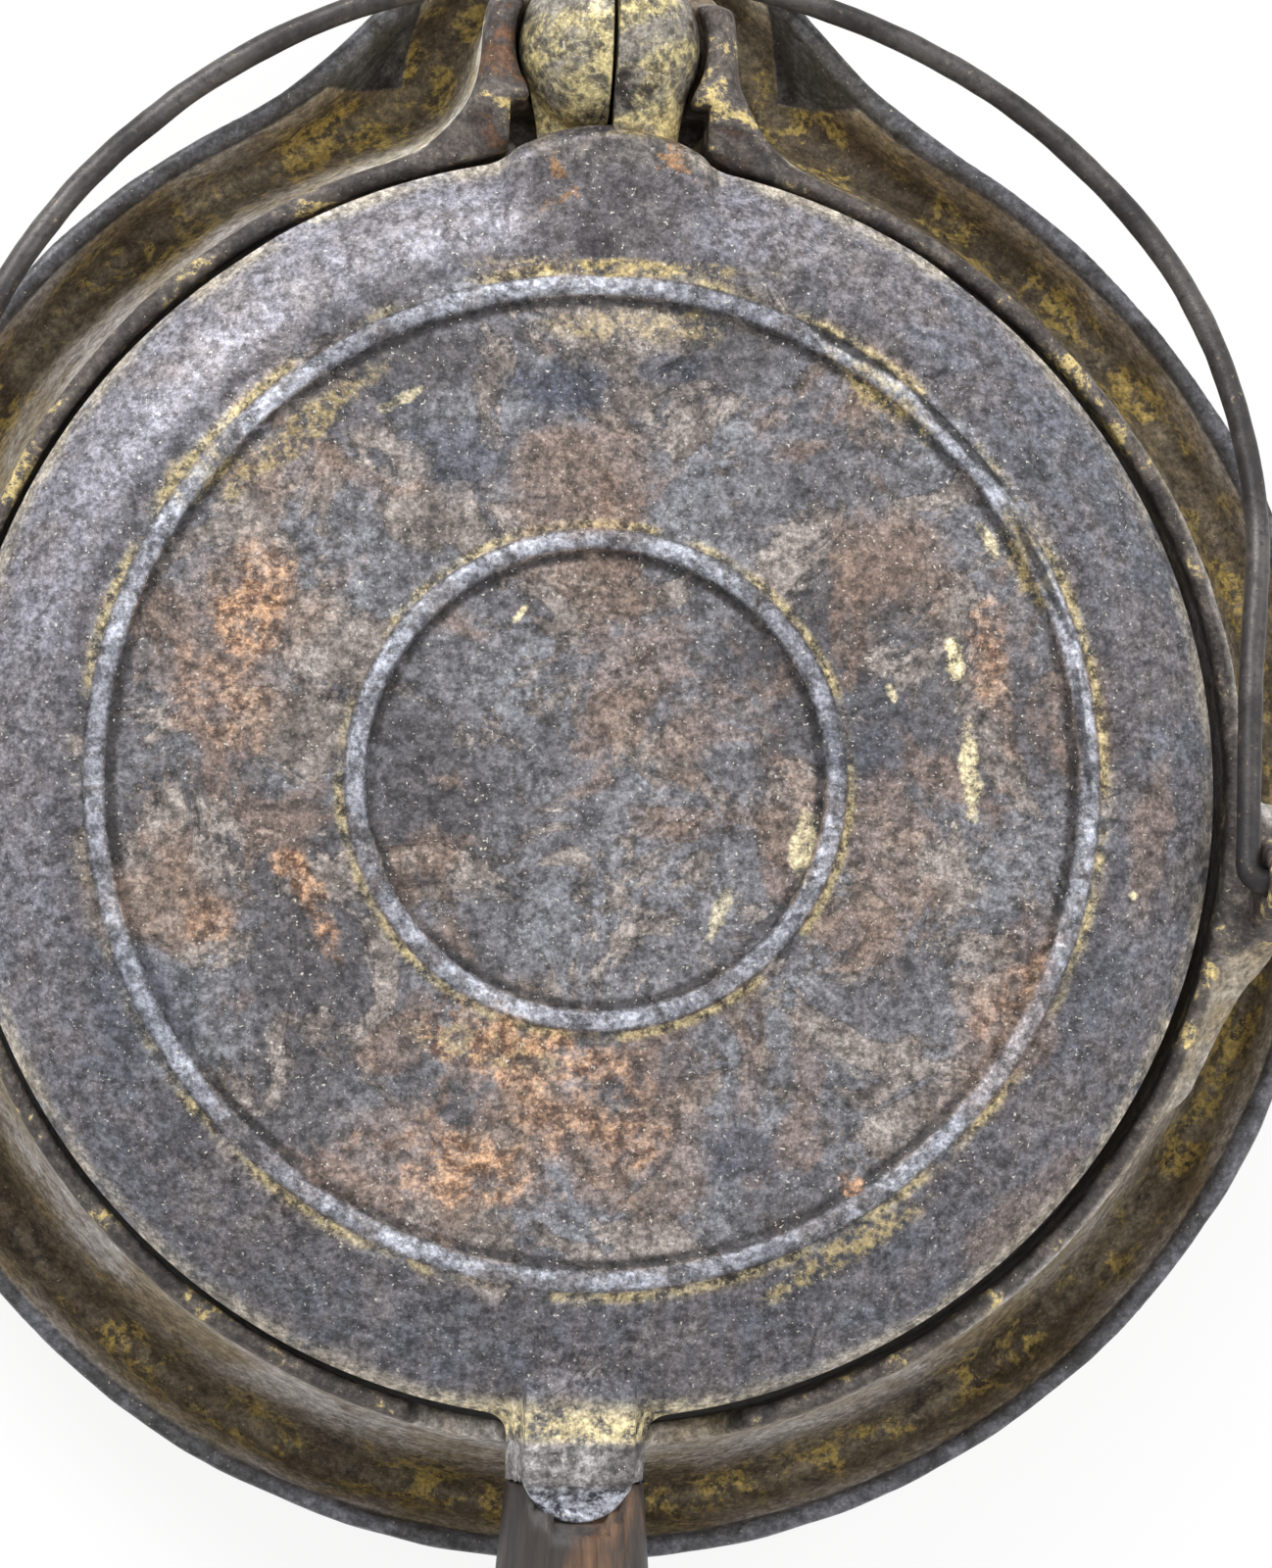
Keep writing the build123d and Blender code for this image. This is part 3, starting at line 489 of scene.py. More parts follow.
# The surface where a function of x, y and z is 0, as closed quads: one vertex in each cell of a grid
# that the surface crosses, at the mean of the crossings on its edges, and one face for each grid edge
# that it crosses. The vertices then slide onto the surface along the function's slope.
def skinOf(distance, low, high, step):
    counts = [int(math.ceil((b - a) / step)) + 1 for a, b in zip(low, high)]
    axes = [a + step * np.arange(n) for a, n in zip(low, counts)]
    x, y, z = np.meshgrid(*axes, indexing="ij")
    value = distance(x, y, z)
    value[np.abs(value) < 1e-6] = 1e-6
    inside = value < 0
    cells = tuple(n - 1 for n in counts)
    total, hits = np.zeros(cells + (3,)), np.zeros(cells)
    faces = []
    for axis in range(3):
        first = [slice(None)] * 3
        second = [slice(None)] * 3
        first[axis], second[axis] = slice(0, -1), slice(1, None)
        a, b = value[tuple(first)], value[tuple(second)]
        crossed = inside[tuple(first)] != inside[tuple(second)]
        share = np.where(crossed, a / np.where(crossed, a - b, 1), 0)
        others = [k for k in range(3) if k != axis]
        for i in (0, 1):
            for j in (0, 1):
                part = [slice(None)] * 3
                part[others[0]] = slice(i, i + cells[others[0]])
                part[others[1]] = slice(j, j + cells[others[1]])
                hit, at = crossed[tuple(part)], share[tuple(part)]
                hits += hit
                total[..., axis] += np.where(hit, at, 0)
                total[..., others[0]] += hit * i
                total[..., others[1]] += hit * j
        edge = np.argwhere(crossed)
        keep = (edge[:, others[0]] > 0) & (edge[:, others[1]] > 0)
        keep &= (edge[:, others[0]] < cells[others[0]]) & (edge[:, others[1]] < cells[others[1]])
        edge = edge[keep]
        quad = np.repeat(edge[:, None], 4, axis=1)
        quad[:, 1, others[0]] -= 1
        quad[:, 2, others[0]] -= 1
        quad[:, 2, others[1]] -= 1
        quad[:, 3, others[1]] -= 1
        faces.append(quad.reshape(-1, 3))
    number = -np.ones(cells, dtype=np.int64)
    used = hits > 0
    number[used] = np.arange(used.sum())
    points = np.argwhere(used) + total[used] / hits[used][:, None]
    points = points * step + np.array(low)
    corner = np.vstack(faces)
    quads = number[corner[:, 0], corner[:, 1], corner[:, 2]].reshape(-1, 4)
    for _ in range(4):
        here = distance(*points.T)
        slope = np.stack([
            distance(*(points + offset).T) - distance(*(points - offset).T) for offset in 0.1 * np.eye(3)
        ], axis=-1) / 0.2
        size = np.maximum((slope**2).sum(axis=-1), 0.05)
        move = slope * (here / size)[:, None]
        length = np.linalg.norm(move, axis=-1, keepdims=True)
        points = points - move * np.minimum(1, 0.35 * step / np.maximum(length, 1e-9))
    return points, quads


# The base as one closed skin with the slow lumps and fine grain of sand-cast iron.
def basePiece(seed):
    b = ring
    low, high = (-122.4, -121.6, -1.6), (122.4, 146.0, 67.0)
    points, quads = skinOf(baseDistance, low, high, b["step"])
    middle = np.array([0, ringCentre[1] / mm, 0])
    piece = makePiece("ringBase", (points + middle) * mm, quads)
    normals = np.empty(len(points) * 3)
    piece.data.vertices.foreach_get("normal", normals)
    slow = lumps(*points.T, 19.0, seed) + 0.6 * lumps(*points.T, 8.0, seed + 1)
    fine = lumps(*points.T, 2.9, seed + 2)
    away = np.hypot(points[:, 0], points[:, 1] - paddle["ballDistance"])
    rim = smoothRamp(np.hypot(points[:, 0], points[:, 1]), 96.5, 98.5)
    lift = (b["lump"] * slow + b["grain"] * fine) * smoothRamp(away, 14.8, 17.5) * rim
    lift = lift * smoothRamp(points[:, 2], 0.5, 3.0)
    points = points + normals.reshape(-1, 3) * lift[:, None]
    lowest, highest = [np.array(corner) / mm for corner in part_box("base")]
    points = np.clip(points + middle, lowest, highest)
    piece.data.vertices.foreach_set("co", (points * mm).ravel())
    piece.data.update()
    print("base", len(points), "vertices", len(quads), "quads")
    return piece


# The bail.
bailWire = {
    "radius": 2.0, "tip": 108.2, "arm": 98.3, "hook": 2.6,
    "corners": ((103.2, 88.0), (54.0, 135.5), (0.0, 151.5)), "bends": (88.0, 100.0, 90.0),
    "rest": 141.0, "restDrop": 32.6, "hammer": 0.12, "waver": 0.5, "lean": 3.0,
}


# Straight runs with an arc at each corner, as points about this far apart.
def roundedPath(corners, bends, spacing):
    corners = [np.array(c, float) for c in corners]
    path, last = [corners[0]], corners[0]
    for before, at, after, bend in zip(corners, corners[1:], corners[2:], bends):
        a, b = before - at, after - at
        a, b = a / np.linalg.norm(a), b / np.linalg.norm(b)
        half = math.acos(np.clip(a @ b, -1, 1)) / 2
        along = bend / math.tan(half)
        start, end = at + a * along, at + b * along
        centre = at + (a + b) / np.linalg.norm(a + b) * bend / math.sin(half)
        run = max(2, int(np.linalg.norm(start - last) / spacing))
        path += [last + (start - last) * t for t in np.arange(1, run + 1) / run]
        u, v = start - centre, end - centre
        turn = math.acos(np.clip(u @ v / bend**2, -1, 1))
        steps = max(4, int(turn * bend / spacing))
        for t in np.arange(1, steps + 1) / steps:
            path.append(centre + (u * math.sin((1 - t) * turn) + v * math.sin(t * turn)) / math.sin(turn))
        last = end
    run = max(2, int(np.linalg.norm(corners[-1] - last) / spacing))
    path += [last + (corners[-1] - last) * t for t in np.arange(1, run + 1) / run]
    return np.array(path)


# A closed tube: circles square to the path, a little uneven like drawn wire, domed at its ends.
def tubeAlong(name, path, normal, radius, seed, sides=18):
    tangent = np.gradient(path, axis=0)
    tangent /= np.linalg.norm(tangent, axis=1, keepdims=True)
    side = np.cross(tangent, normal)
    side /= np.linalg.norm(side, axis=1, keepdims=True)
    up = np.cross(side, tangent)
    turn = np.arange(sides) * 2 * np.pi / sides
    circle = np.cos(turn)[None, :, None] * side[:, None] + np.sin(turn)[None, :, None] * up[:, None]
    place = (path[:, None] + circle * radius) / mm
    dent = bailWire["hammer"] * mm * (lumps(*np.moveaxis(place, -1, 0), 3.4, seed) - 1.0)
    rows = path[:, None] + circle * (radius + dent)[..., None]
    caps = []
    for end, sign in ((0, -1), (-1, 1)):
        dome = [path[end] + sign * tangent[end] * radius * 0.2 * (f - 1) + circle[end] * radius * s
                for f, s in ((1.0, 0.72), (0.4, 0.93))]
        caps.append(dome if end == 0 else dome[::-1])
    rows = np.concatenate([np.array(caps[0]), rows[1:-1], np.array(caps[1])])
    count, size = sides, len(rows) * sides
    points = np.vstack([rows.reshape(-1, 3), [path[0], path[-1]]])
    fans = np.vstack([
        capFan(np.arange(count), size)[:, ::-1], capFan(np.arange(count) + size - count, size + 1),
    ])
    return makePiece(name, points, gridFaces(len(rows), count), fans)


# The bail in its own sloping plane: arms, shoulders, haunches and crown, hooked at the ears.
def bailPiece():
    b = bailWire
    arm = [(b["tip"], 0.0), (b["arm"], 0.0), *b["corners"]]
    route = arm + [(-x, reach) for x, reach in reversed(arm[:-1])]
    bends = [b["hook"], *b["bends"]]
    flat = roundedPath(route, bends + bends[-2::-1], 1.6)
    slope = math.atan2(b["restDrop"], b["rest"])
    free = smoothRamp(flat[:, 1], 12, 60)
    x = flat[:, 0] + smoothRamp(flat[:, 1], 20, 120) * b["lean"]
    x = x + free * b["waver"] * lumps(flat[:, 0], flat[:, 1], 0 * flat[:, 0], 31.0, 5)
    reach = flat[:, 1]
    rise = free * 0.35 * (lumps(flat[:, 0], flat[:, 1], 0 * x + 9, 27.0, 6) + 0.4)
    path = np.column_stack([
        x, reach * math.cos(slope) + rise * math.sin(slope), -reach * math.sin(slope) + rise * math.cos(slope),
    ]) * mm + bailPivot
    normal = np.array([0.0, math.sin(slope), math.cos(slope)])
    return tubeAlong("bailWire", path, normal, b["radius"] * mm, 71)


# The wooden grips.
grip = {
    "start": 104.2, "waistAt": 132.2, "waist": 12.4, "swellAt": 188.2, "swell": 13.4,
    "tailAt": 230.0, "tail": 11.6, "end": 240.0, "startRadius": 10.3, "halfGap": 0.15,
    "screws": (132.0, 190.0), "screwRadius": 3.6, "sink": 0.8, "slot": 0.9,
}


# The turned profile, from the iron to the rounded end.
def gripRadius(along):
    g = grip
    knots = np.array([g["start"], g["waistAt"], g["swellAt"], g["tailAt"]])
    sizes = np.array([g["startRadius"], g["waist"], g["swell"], g["tail"]])
    curve = np.polyfit(knots, sizes, 3)
    radius = np.polyval(curve, along)
    end = np.clip((along - g["tailAt"]) / (g["end"] - g["tailAt"]), 0, 1)
    tail = g["tail"] * np.sqrt(np.clip(1 - end**2.4, 0, 1))
    return np.where(along > g["tailAt"], tail, radius)


# Half of the turned grip: half circles along the handle, with its seam side flat.
def gripHalf(name, lower, seed):
    g = grip
    along = np.concatenate([
        [g["start"], g["start"] + 0.4], np.linspace(g["start"] + 1.5, g["tailAt"], 66),
        g["tailAt"] + (g["end"] - g["tailAt"]) * np.sin(np.linspace(0.1, 0.5, 14) * np.pi),
    ])
    radius = np.maximum(gripRadius(along), 0.4)
    radius[0] = radius[1] - 0.35
    arc = np.linspace(0, np.pi, 41)
    x = radius[:, None] * np.cos(arc)
    h = np.maximum(radius[:, None] * np.sin(arc), g["halfGap"])
    y = -along[:, None] + 0 * arc
    wear = 0.1 * lumps(x, y / 3, h, 4.0, seed) + 0.07 * lumps(x, y / 6, h, 1.6, seed + 1) - 0.12
    inner = smoothRamp(h, 0.2, 1.5) * smoothRamp(along, g["end"] - 0.5, g["end"] - 4)[:, None]
    x, h = x * (1 + wear * inner / 12), h * (1 + wear * inner / 12)
    for place in g["screws"]:
        pit = np.hypot(x, y + place)
        level = g["waist"] - g["sink"] - 0.5
        h = np.where(pit < g["screwRadius"] + 0.5, np.minimum(h, level), h)
    tip = grip["start"] + 0.3
    under = (np.hypot(x, y + paddle["tongueReach"] - paddle["tongueArc"]) < paddle["tongueArc"] + 0.1)
    h = np.where(under & (along[:, None] > tip), np.minimum(h, 6.6), h)
    points = np.stack([x, y, h], axis=-1).reshape(-1, 3)
    n = len(arc)
    middle = len(points)
    points = np.vstack([points, [[0, -along[0], 3.0], [0, -along[-1], 0.3]]])
    fans = np.vstack([capFan(np.arange(n), middle), capFan(np.arange(n) + middle - n, middle + 1)[:, ::-1]])
    return makePiece(name, toWorld(points, lower), gridFaces(len(along), n), fans)


# Two slotted wood screws: a shank and a low domed head whose middle strip is let in.
def screwHeads(name, lower):
    g = grip
    top = g["waist"] - g["sink"]
    rings = [(0.0, 0.16), (2.0, 0.16), (2.0, top - 2.4), (g["screwRadius"] - 0.2, top - 2.4),
             (g["screwRadius"], top - 2.2), (g["screwRadius"], top - 0.5), (g["screwRadius"] - 0.25, top - 0.2)]
    rings += [(r, top - 0.2 + 0.2 * (1 - (r / g["screwRadius"]) ** 2)) for r in (3.0, 2.4, 1.8, 1.2, 0.6, 0.01)]
    turn = np.arange(64) * 2 * np.pi / 64
    ring = np.array(rings)
    x = ring[:, :1] * np.cos(turn)
    y = ring[:, :1] * np.sin(turn)
    h = ring[:, 1:] + 0 * turn
    h = np.where((np.abs(y) < g["slot"] / 2) & (h > top - 0.6), h - 0.9, h)
    one = np.stack([x, y, h], axis=-1).reshape(-1, 3)
    points = np.vstack([one + [0, -place, 0] for place in g["screws"]])
    quads = gridFaces(len(rings), len(turn))
    quads = np.vstack([quads, quads + len(one)])
    n, last = len(turn), (len(rings) - 1) * len(turn)
    start = len(points)
    points = np.vstack([points, [[0, -place, level] for place in g["screws"] for level in (0.16, top - 0.9)]])
    fans = []
    for k in range(2):
        fans.append(capFan(np.arange(n) + k * len(one), start + 2 * k)[:, ::-1])
        fans.append(capFan(np.arange(n) + last + k * len(one), start + 2 * k + 1))
    return makePiece(name, toWorld(points, lower), quads, np.vstack(fans), smooth=False)


# Shader maths.
# A socket that does arithmetic: each operator adds one Math node.
class Value:

    def __init__(self, graph, socket):
        self.graph, self.socket = graph, socket

    def maths(self, operation, *others):
        inputs = {0: self}
        inputs.update({k + 1: other for k, other in enumerate(others)})
        return self.graph.make("ShaderNodeMath", {"operation": operation}, inputs)

    def __add__(self, other):
        return self.maths("ADD", other)

    def __sub__(self, other):
        return self.maths("SUBTRACT", other)

    def __rsub__(self, other):
        return self.maths("MULTIPLY_ADD", -1.0, other)

    def __mul__(self, other):
        return self.maths("MULTIPLY", other)

    def __truediv__(self, other):
        return self.maths("DIVIDE", other)

    def __pow__(self, other):
        return self.maths("POWER", other)

    __radd__ = __add__
    __rmul__ = __mul__

    def atLeast(self, other):
        return self.maths("MAXIMUM", other)

    # A smooth step from start at low to end at high.
    def ramp(self, low, high, start=0.0, end=1.0):
        return self.graph.make(
            "ShaderNodeMapRange", {"interpolation_type": "SMOOTHSTEP"},
            {"Value": self, "From Min": low, "From Max": high, "To Min": start, "To Max": end}, "Result",
        )


# The nodes of one material.
class Graph:

    def __init__(self, name):
        self.material = bpy.data.materials.new(name)
        self.material.use_nodes = True
        self.tree = self.material.node_tree
        self.shader = self.tree.nodes["Principled BSDF"]

    def put(self, socket, value):
        if isinstance(value, Value):
            self.tree.links.new(value.socket, socket)
        else:
            socket.default_value = value

    def make(self, kind, settings=None, inputs=None, output=0):
        node = self.tree.nodes.new(kind)
        for key, value in (settings or {}).items():
            if key == "stops":
                ramp = node.color_ramp
                for place, colour in value[2:]:
                    ramp.elements.new(place)
                for element, (place, colour) in zip(ramp.elements, sorted(value)):
                    element.position, element.color = place, (*colour, 1)
            else:
                setattr(node, key, value)
        for key, value in (inputs or {}).items():
            self.put(node.inputs[key], value)
        return Value(self, node.outputs[output])

    # Object coordinates counted from a point, turned and stretched.
    def place(self, origin=(0, 0, 0), turn=(0, 0, 0), stretch=(1, 1, 1)):
        spot = self.make("ShaderNodeTexCoord", output="Object")
        offset = self.make("ShaderNodeVectorMath", {"operation": "SUBTRACT"}, {0: spot, 1: origin})
        return self.make("ShaderNodeMapping", {}, {"Vector": offset, "Rotation": turn, "Scale": stretch})

    def axes(self, spot):
        node = self.make("ShaderNodeSeparateXYZ", {}, {0: spot}).socket.node
        return [Value(self, node.outputs[k]) for k in range(3)]

    # Noise of 0 to 1 whose features are about this many millimetres.
    def noise(self, spot, size, detail=4.0, rough=0.55, warp=0.0):
        return self.make(
            "ShaderNodeTexNoise", {},
            {"Vector": spot, "Scale": 1000.0 / size, "Detail": detail, "Roughness": rough, "Distortion": warp},
        )

    def cells(self, spot, size, feature="F1"):
        return self.make(
            "ShaderNodeTexVoronoi", {"feature": feature}, {"Vector": spot, "Scale": 1000.0 / size}, "Distance",
        )

    # Colour first where share is 0, second where it is 1.
    def mix(self, share, first, second, blend="MIX"):
        first, second = [c if isinstance(c, Value) else (*c, 1) for c in (first, second)]
        node = self.tree.nodes.new("ShaderNodeMix")
        node.data_type, node.blend_type = "RGBA", blend
        for key, value in ((0, share), (6, first), (7, second)):
            self.put(node.inputs[key], value)
        return Value(self, node.outputs[2])

    def bump(self, height, distance, normal=None, strength=1.0):
        inputs = {"Height": height, "Distance": distance * mm, "Strength": strength}
        if normal is not None:
            inputs["Normal"] = normal
        return self.make("ShaderNodeBump", {}, inputs)

    def finish(self, **inputs):
        for key, value in inputs.items():
            self.put(self.shader.inputs[key.replace("_", " ")], value)
        return self.material


# Colour given as 0 to 255 on the screen, as linear light.
def tone(red, green, blue):
    return tuple((c / 255 / 12.92) if c <= 10 else ((c / 255 + 0.055) / 1.055) ** 2.4 for c in (red, green, blue))


# Distance from a point in units of an ellipse, whose edge is ragged: 0 in its middle, 1 on its edge.
def ellipse(graph, spot, place, size, turn=0.0):
    c, s = math.cos(turn), math.sin(turn)
    x, y, _ = graph.axes(spot)
    dx, dy = x - place[0] * mm, y - place[1] * mm
    u = (dx * c + dy * s) / (size[0] * mm)
    v = (dy * c - dx * s) / (size[1] * mm)
    return (u * u + v * v) ** 0.5


# The marks of one kind together: 1 inside any of them, with ragged edges.
def marks(graph, spot, places, ragged=0.35, size=5.0):
    noise = graph.noise(spot, size, 5, 0.62)
    total = None
    for x, y, wide, high, turn, strength in places:
        away = ellipse(graph, spot, (x, y), (wide, high), math.radians(turn)) + (noise - 0.5) * (ragged * 4)
        one = away.ramp(1.1, 0.55, 0.0, strength)
        total = one if total is None else total.atLeast(one)
    return total


# Marks seen on the outer face of the upper paddle, as x, y, half width, half height, turn and strength.
faceMarks = {
    "rust": [(-52.7, 22.5, 7, 9, 20, 1.0), (-50.6, 30.0, 6, 7, 0, 0.7), (-56, 10, 9, 10, 30, 0.45),
             (-11.9, -40.1, 12, 6, -14, 0.9), (-18.7, -57.5, 15, 6, -12, 0.9), (-0.1, -48.5, 13, 11, 0, 0.6),
             (-40.5, -21.0, 2.4, 9, 26, 0.9), (-45.8, -13.6, 3, 2.4, 0, 0.9), (58.5, 23.2, 3.4, 11, 0, 0.6),
             (39.2, -58.5, 2, 1.8, 0, 1.0), (63, -30, 4, 9, -30, 0.5), (-57, -23, 5, 4, 0, 0.5)],
    "cream": [(53.4, 19.8, 1.5, 4.0, 8, 1.0), (56.0, 2.5, 1.6, 7.5, 4, 0.85), (31.1, -8.5, 1.9, 6.0, -8, 0.75),
              (18.8, -19.0, 1.3, 5.0, -20, 0.45), (81.2, -15, 0.8, 0.8, 0, 0.9), (-12, 24.5, 0.8, 2.0, -40, 0.8),
              (58, 38, 1.2, 3.5, 30, 0.7), (44, 14, 0.9, 2.2, 20, 0.6), (-30, 56, 1, 4, -62, 0.5)],
    "slate": [(-5.7, 58.5, 9, 4.6, -8, 1.0), (9, 62, 7, 3, 10, 0.8), (23.3, -55.2, 7, 5, 0, 0.9),
              (-36, 54, 10, 4, 25, 0.7), (-22, 48, 8, 6, 0, 0.7), (40, 8, 7, 10, 0, 0.6), (-66, -35, 9, 12, 30, 0.6)],
    "brown": [(43.5, 34.5, 10, 10, 0, 0.9), (-3.9, 44.6, 13, 11, 0, 0.8), (-61.4, -19.8, 10, 9, 0, 0.7),
              (-24.4, -57.6, 18, 10, 0, 0.6), (-46, 46, 12, 6, 40, 0.6), (62, -34, 8, 15, -20, 0.7),
              (84, -8, 4, 14, -6, 0.7), (66, -62, 12, 4, 45, 0.5), (-54, 20, 13, 16, 0, 0.6)],
    "shade": [(36, 66, 11, 1.2, -28, 1.0), (53, 53, 13, 1.1, -45, 1.0), (66, 33, 12, 1.0, -63, 0.9),
              (72.5, 10, 12, 0.8, -82, 0.8)],
    "ochre": [(-46, 50, 14, 3, 42, 0.7), (0, 76.8, 22, 1.6, 0, 0.9), (4, 68, 16, 3, 0, 0.5), (40, 60, 10, 3, -38, 0.7),
              (64, 34, 3, 9, 20, 0.6), (40, -68, 16, 2.4, 32, 0.7), (-16, -40, 12, 3, -10, 0.6), (-60, 44, 4, 8, -40, 0.5)],
}


# Grey that varies between two levels, to multiply a colour by.
def mottle(graph, noise, low, high, dark, light):
    return noise.ramp(low, high, dark, light)


# Cast iron of a paddle. A dark skin of old seasoning lies in crisp flakes over brown-grey iron; the
# shoulder is worn smooth, with painted light that makes it paler towards the upper left and a band of painted shade by
# the outer bead; the bead crests carry a painted highlight, a line of painted shade lies in the inner corner of each
# bead and ochre crust in the outer one; the ball is crusted.
def paddleIron(name, seed, places):
    g = Graph(name)
    spot = g.place(tuple(ringCentre))
    shifted = g.place(tuple(ringCentre + np.array([seed, -2 * seed, 0.3 * seed]) * 0.37))
    x, y, z = g.axes(spot)
    r = (x * x + y * y) ** 0.5 * 1000
    cloud = g.noise(shifted, 30, 6, 0.6, 0.4)
    patch = g.noise(shifted, 11, 8, 0.66, 0.5)
    flake = g.noise(shifted, 17, 9, 0.7, 0.7)
    grain = g.noise(shifted, 2.0, 6, 0.74)
    fine = g.noise(shifted, 0.75, 4, 0.7)
    speck = g.noise(shifted, 0.6, 2, 0.5)
    bloom = g.noise(g.place((0.3 + seed, 0.1, 0.2)), 24, 6, 0.62, 0.8)
    skin = flake.ramp(0.45, 0.5)
    bare = g.mix(patch.ramp(0.38, 0.62), tone(104, 96, 92), tone(152, 143, 138))
    dark = g.mix(cloud.ramp(0.36, 0.64), tone(74, 73, 78), tone(122, 124, 132))
    colour = g.mix(skin * 0.85, bare, dark)
    colour = g.mix(bloom.ramp(0.52, 0.6, 0, 0.5), colour, tone(134, 110, 95))
    outer = r.ramp(76.5, 79)
    # Painted light on the worn shoulder: its colour grows paler towards the upper left, where the light comes from.
    # The brown patches and the cream chips at its edge are its own colour.
    towardsLight = (y * 0.75 - x * 0.66) * 10.5
    worn = g.mix(towardsLight.ramp(-0.2, 0.85), tone(94, 96, 106), tone(138, 137, 147))
    worn = g.mix(patch.ramp(0.42, 0.62, 0, 0.6), worn, tone(112, 104, 102))
    # Painted shade: a darker band on the shoulder just outside the outer bead.
    worn = g.mix(r.ramp(85, 78) * 0.75, worn, tone(76, 74, 80))
    worn = g.mix(r.ramp(92.0, 94.4) * patch.ramp(0.36, 0.56), worn, tone(190, 180, 164))
    colour = g.mix(outer * 0.8, colour, worn)
    beads = [r - bead for bead in paddle["beads"]]
    near = beads[0].maths("ABSOLUTE").maths("MINIMUM", beads[1].maths("ABSOLUTE"))
    crest = near.ramp(1.7, 0.9)
    # Painted highlight: the bead crests are coloured a light blue-grey, standing in for the glint of light along them.
    colour = g.mix(crest * 0.85, colour, g.mix(cloud.ramp(0.4, 0.6), tone(140, 142, 152), tone(190, 194, 206)))
    colour = g.mix(crest * patch.ramp(0.5, 0.6, 0, 0.7), colour, tone(92, 84, 80))
    # Painted shade: a dark line along the inner side of each bead, broken up by noise.
    beadInnerShade = beads[0].ramp(-3.6, -2.6) * beads[0].ramp(-1.4, -2.0)
    beadInnerShade = beadInnerShade.atLeast(beads[1].ramp(-3.8, -2.7) * beads[1].ramp(-1.4, -2.0))
    colour = g.mix(beadInnerShade * patch.ramp(0.36, 0.5, 0.25, 0.9), colour, tone(46, 43, 44))
    beyond = beads[0].ramp(1.5, 2.0) * beads[0].ramp(3.6, 2.4)
    beyond = beyond.atLeast(beads[1].ramp(1.5, 2.0) * beads[1].ramp(3.8, 2.4))
    crust = beyond * bloom.ramp(0.42, 0.56) * grain.ramp(0.36, 0.5)
    colour = g.mix(crust * 0.85, colour, tone(190, 174, 132))
    lugAway = ellipse(g, spot, (0, 89), (14, 12))
    lug = lugAway.ramp(1.25, 0.75)
    colour = g.mix(lug * 0.85, colour, g.mix(patch.ramp(0.4, 0.6), tone(64, 59, 61), tone(96, 91, 92)))
    flecks = lug * patch.ramp(0.57, 0.61)
    colour = g.mix(flecks * 0.8, colour, tone(150, 112, 74))
    crease = y.ramp(0.0965, 0.0985) * y.ramp(0.1035, 0.100)
    dy = y - paddle["ballDistance"] * mm
    ball = ((x * x + dy * dy + z * z) ** 0.5 * 1000).ramp(15.2, 14.6)
    ball = ball.atLeast(y.ramp(0.0985, 0.0995))
    ballColour = g.mix(cloud.ramp(0.36, 0.6), tone(84, 78, 74), tone(138, 132, 122))
    ballColour = g.mix(bloom.ramp(0.40, 0.50) * grain.ramp(0.4, 0.52, 0.25, 0.95), ballColour, tone(186, 172, 124))
    ballColour = g.mix(patch.ramp(0.44, 0.34), ballColour, tone(56, 48, 42))
    colour = g.mix(ball, colour, ballColour)
    colour = g.mix(crease * patch.ramp(0.42, 0.56, 0, 0.8), colour, tone(206, 186, 130))
    root = y.ramp(-0.090, -0.096)
    rootColour = g.mix(patch.ramp(0.40, 0.62), tone(96, 92, 92), tone(164, 160, 160))
    tongueCrust = y.ramp(-0.0985, -0.0965) * grain.ramp(0.38, 0.52)
    rootColour = g.mix(tongueCrust * 0.9, rootColour, tone(214, 198, 152))
    # Painted highlight: a pale blue-grey band along the tongue's lip, for its lit edge.
    lipHighlight = y.ramp(-0.1035, -0.1055)
    rootColour = g.mix(lipHighlight * 0.8, rootColour, g.mix(grain.ramp(0.40, 0.54), tone(92, 96, 112), tone(186, 190, 202)))
    colour = g.mix(root, colour, rootColour)
    if places:
        brown = marks(g, spot, places["brown"], 0.5, 9)
        colour = g.mix(brown * 0.62, colour, tone(142, 118, 102))
        slate = marks(g, spot, places["slate"], 0.5, 6)
        colour = g.mix(slate * 0.85, colour, tone(72, 76, 88))
        ochre = marks(g, spot, places["ochre"], 0.5, 7) * grain.ramp(0.42, 0.55)
        colour = g.mix(ochre * 0.8, colour, tone(168, 148, 92))
        rust = marks(g, spot, places["rust"], 0.6, 8) * g.noise(spot, 4.5, 8, 0.75).ramp(0.36, 0.6)
        colour = g.mix(rust * 0.85, colour, g.mix(grain.ramp(0.4, 0.6), tone(150, 104, 72), tone(206, 164, 128)))
        shade = marks(g, spot, places["shade"], 0.25, 3)
        colour = g.mix(shade * 0.9, colour, tone(34, 31, 32))
        cream = marks(g, spot, places["cream"], 0.5, 2.8)
        colour = g.mix(cream * grain.ramp(0.32, 0.5), colour, tone(226, 212, 172))
    colour = g.mix(1.0, colour, mottle(g, grain, 0.34, 0.66, 0.38, 1.55), "MULTIPLY")
    colour = g.mix(1.0, colour, mottle(g, fine, 0.32, 0.68, 0.55, 1.42), "MULTIPLY")
    colour = g.mix(speck.ramp(0.66, 0.74, 0.0, 0.75), colour, tone(226, 220, 208))
    rough = skin * -0.06 + cloud.ramp(0.3, 0.7, 0.60, 0.46) + crust * 0.2 + outer * -0.08 + crest * -0.08
    relief = grain * 0.5 + g.noise(shifted, 5.5, 6, 0.62) * 0.8 + fine * 0.22 + skin * 0.35
    smooth = outer * towardsLight.ramp(0.1, 0.7)
    relief = relief * (1 - smooth * 0.55)
    return g.finish(
        Base_Color=colour, Roughness=rough, Metallic=0.25, Normal=g.bump(relief + crust * 0.4, 0.42),
    )
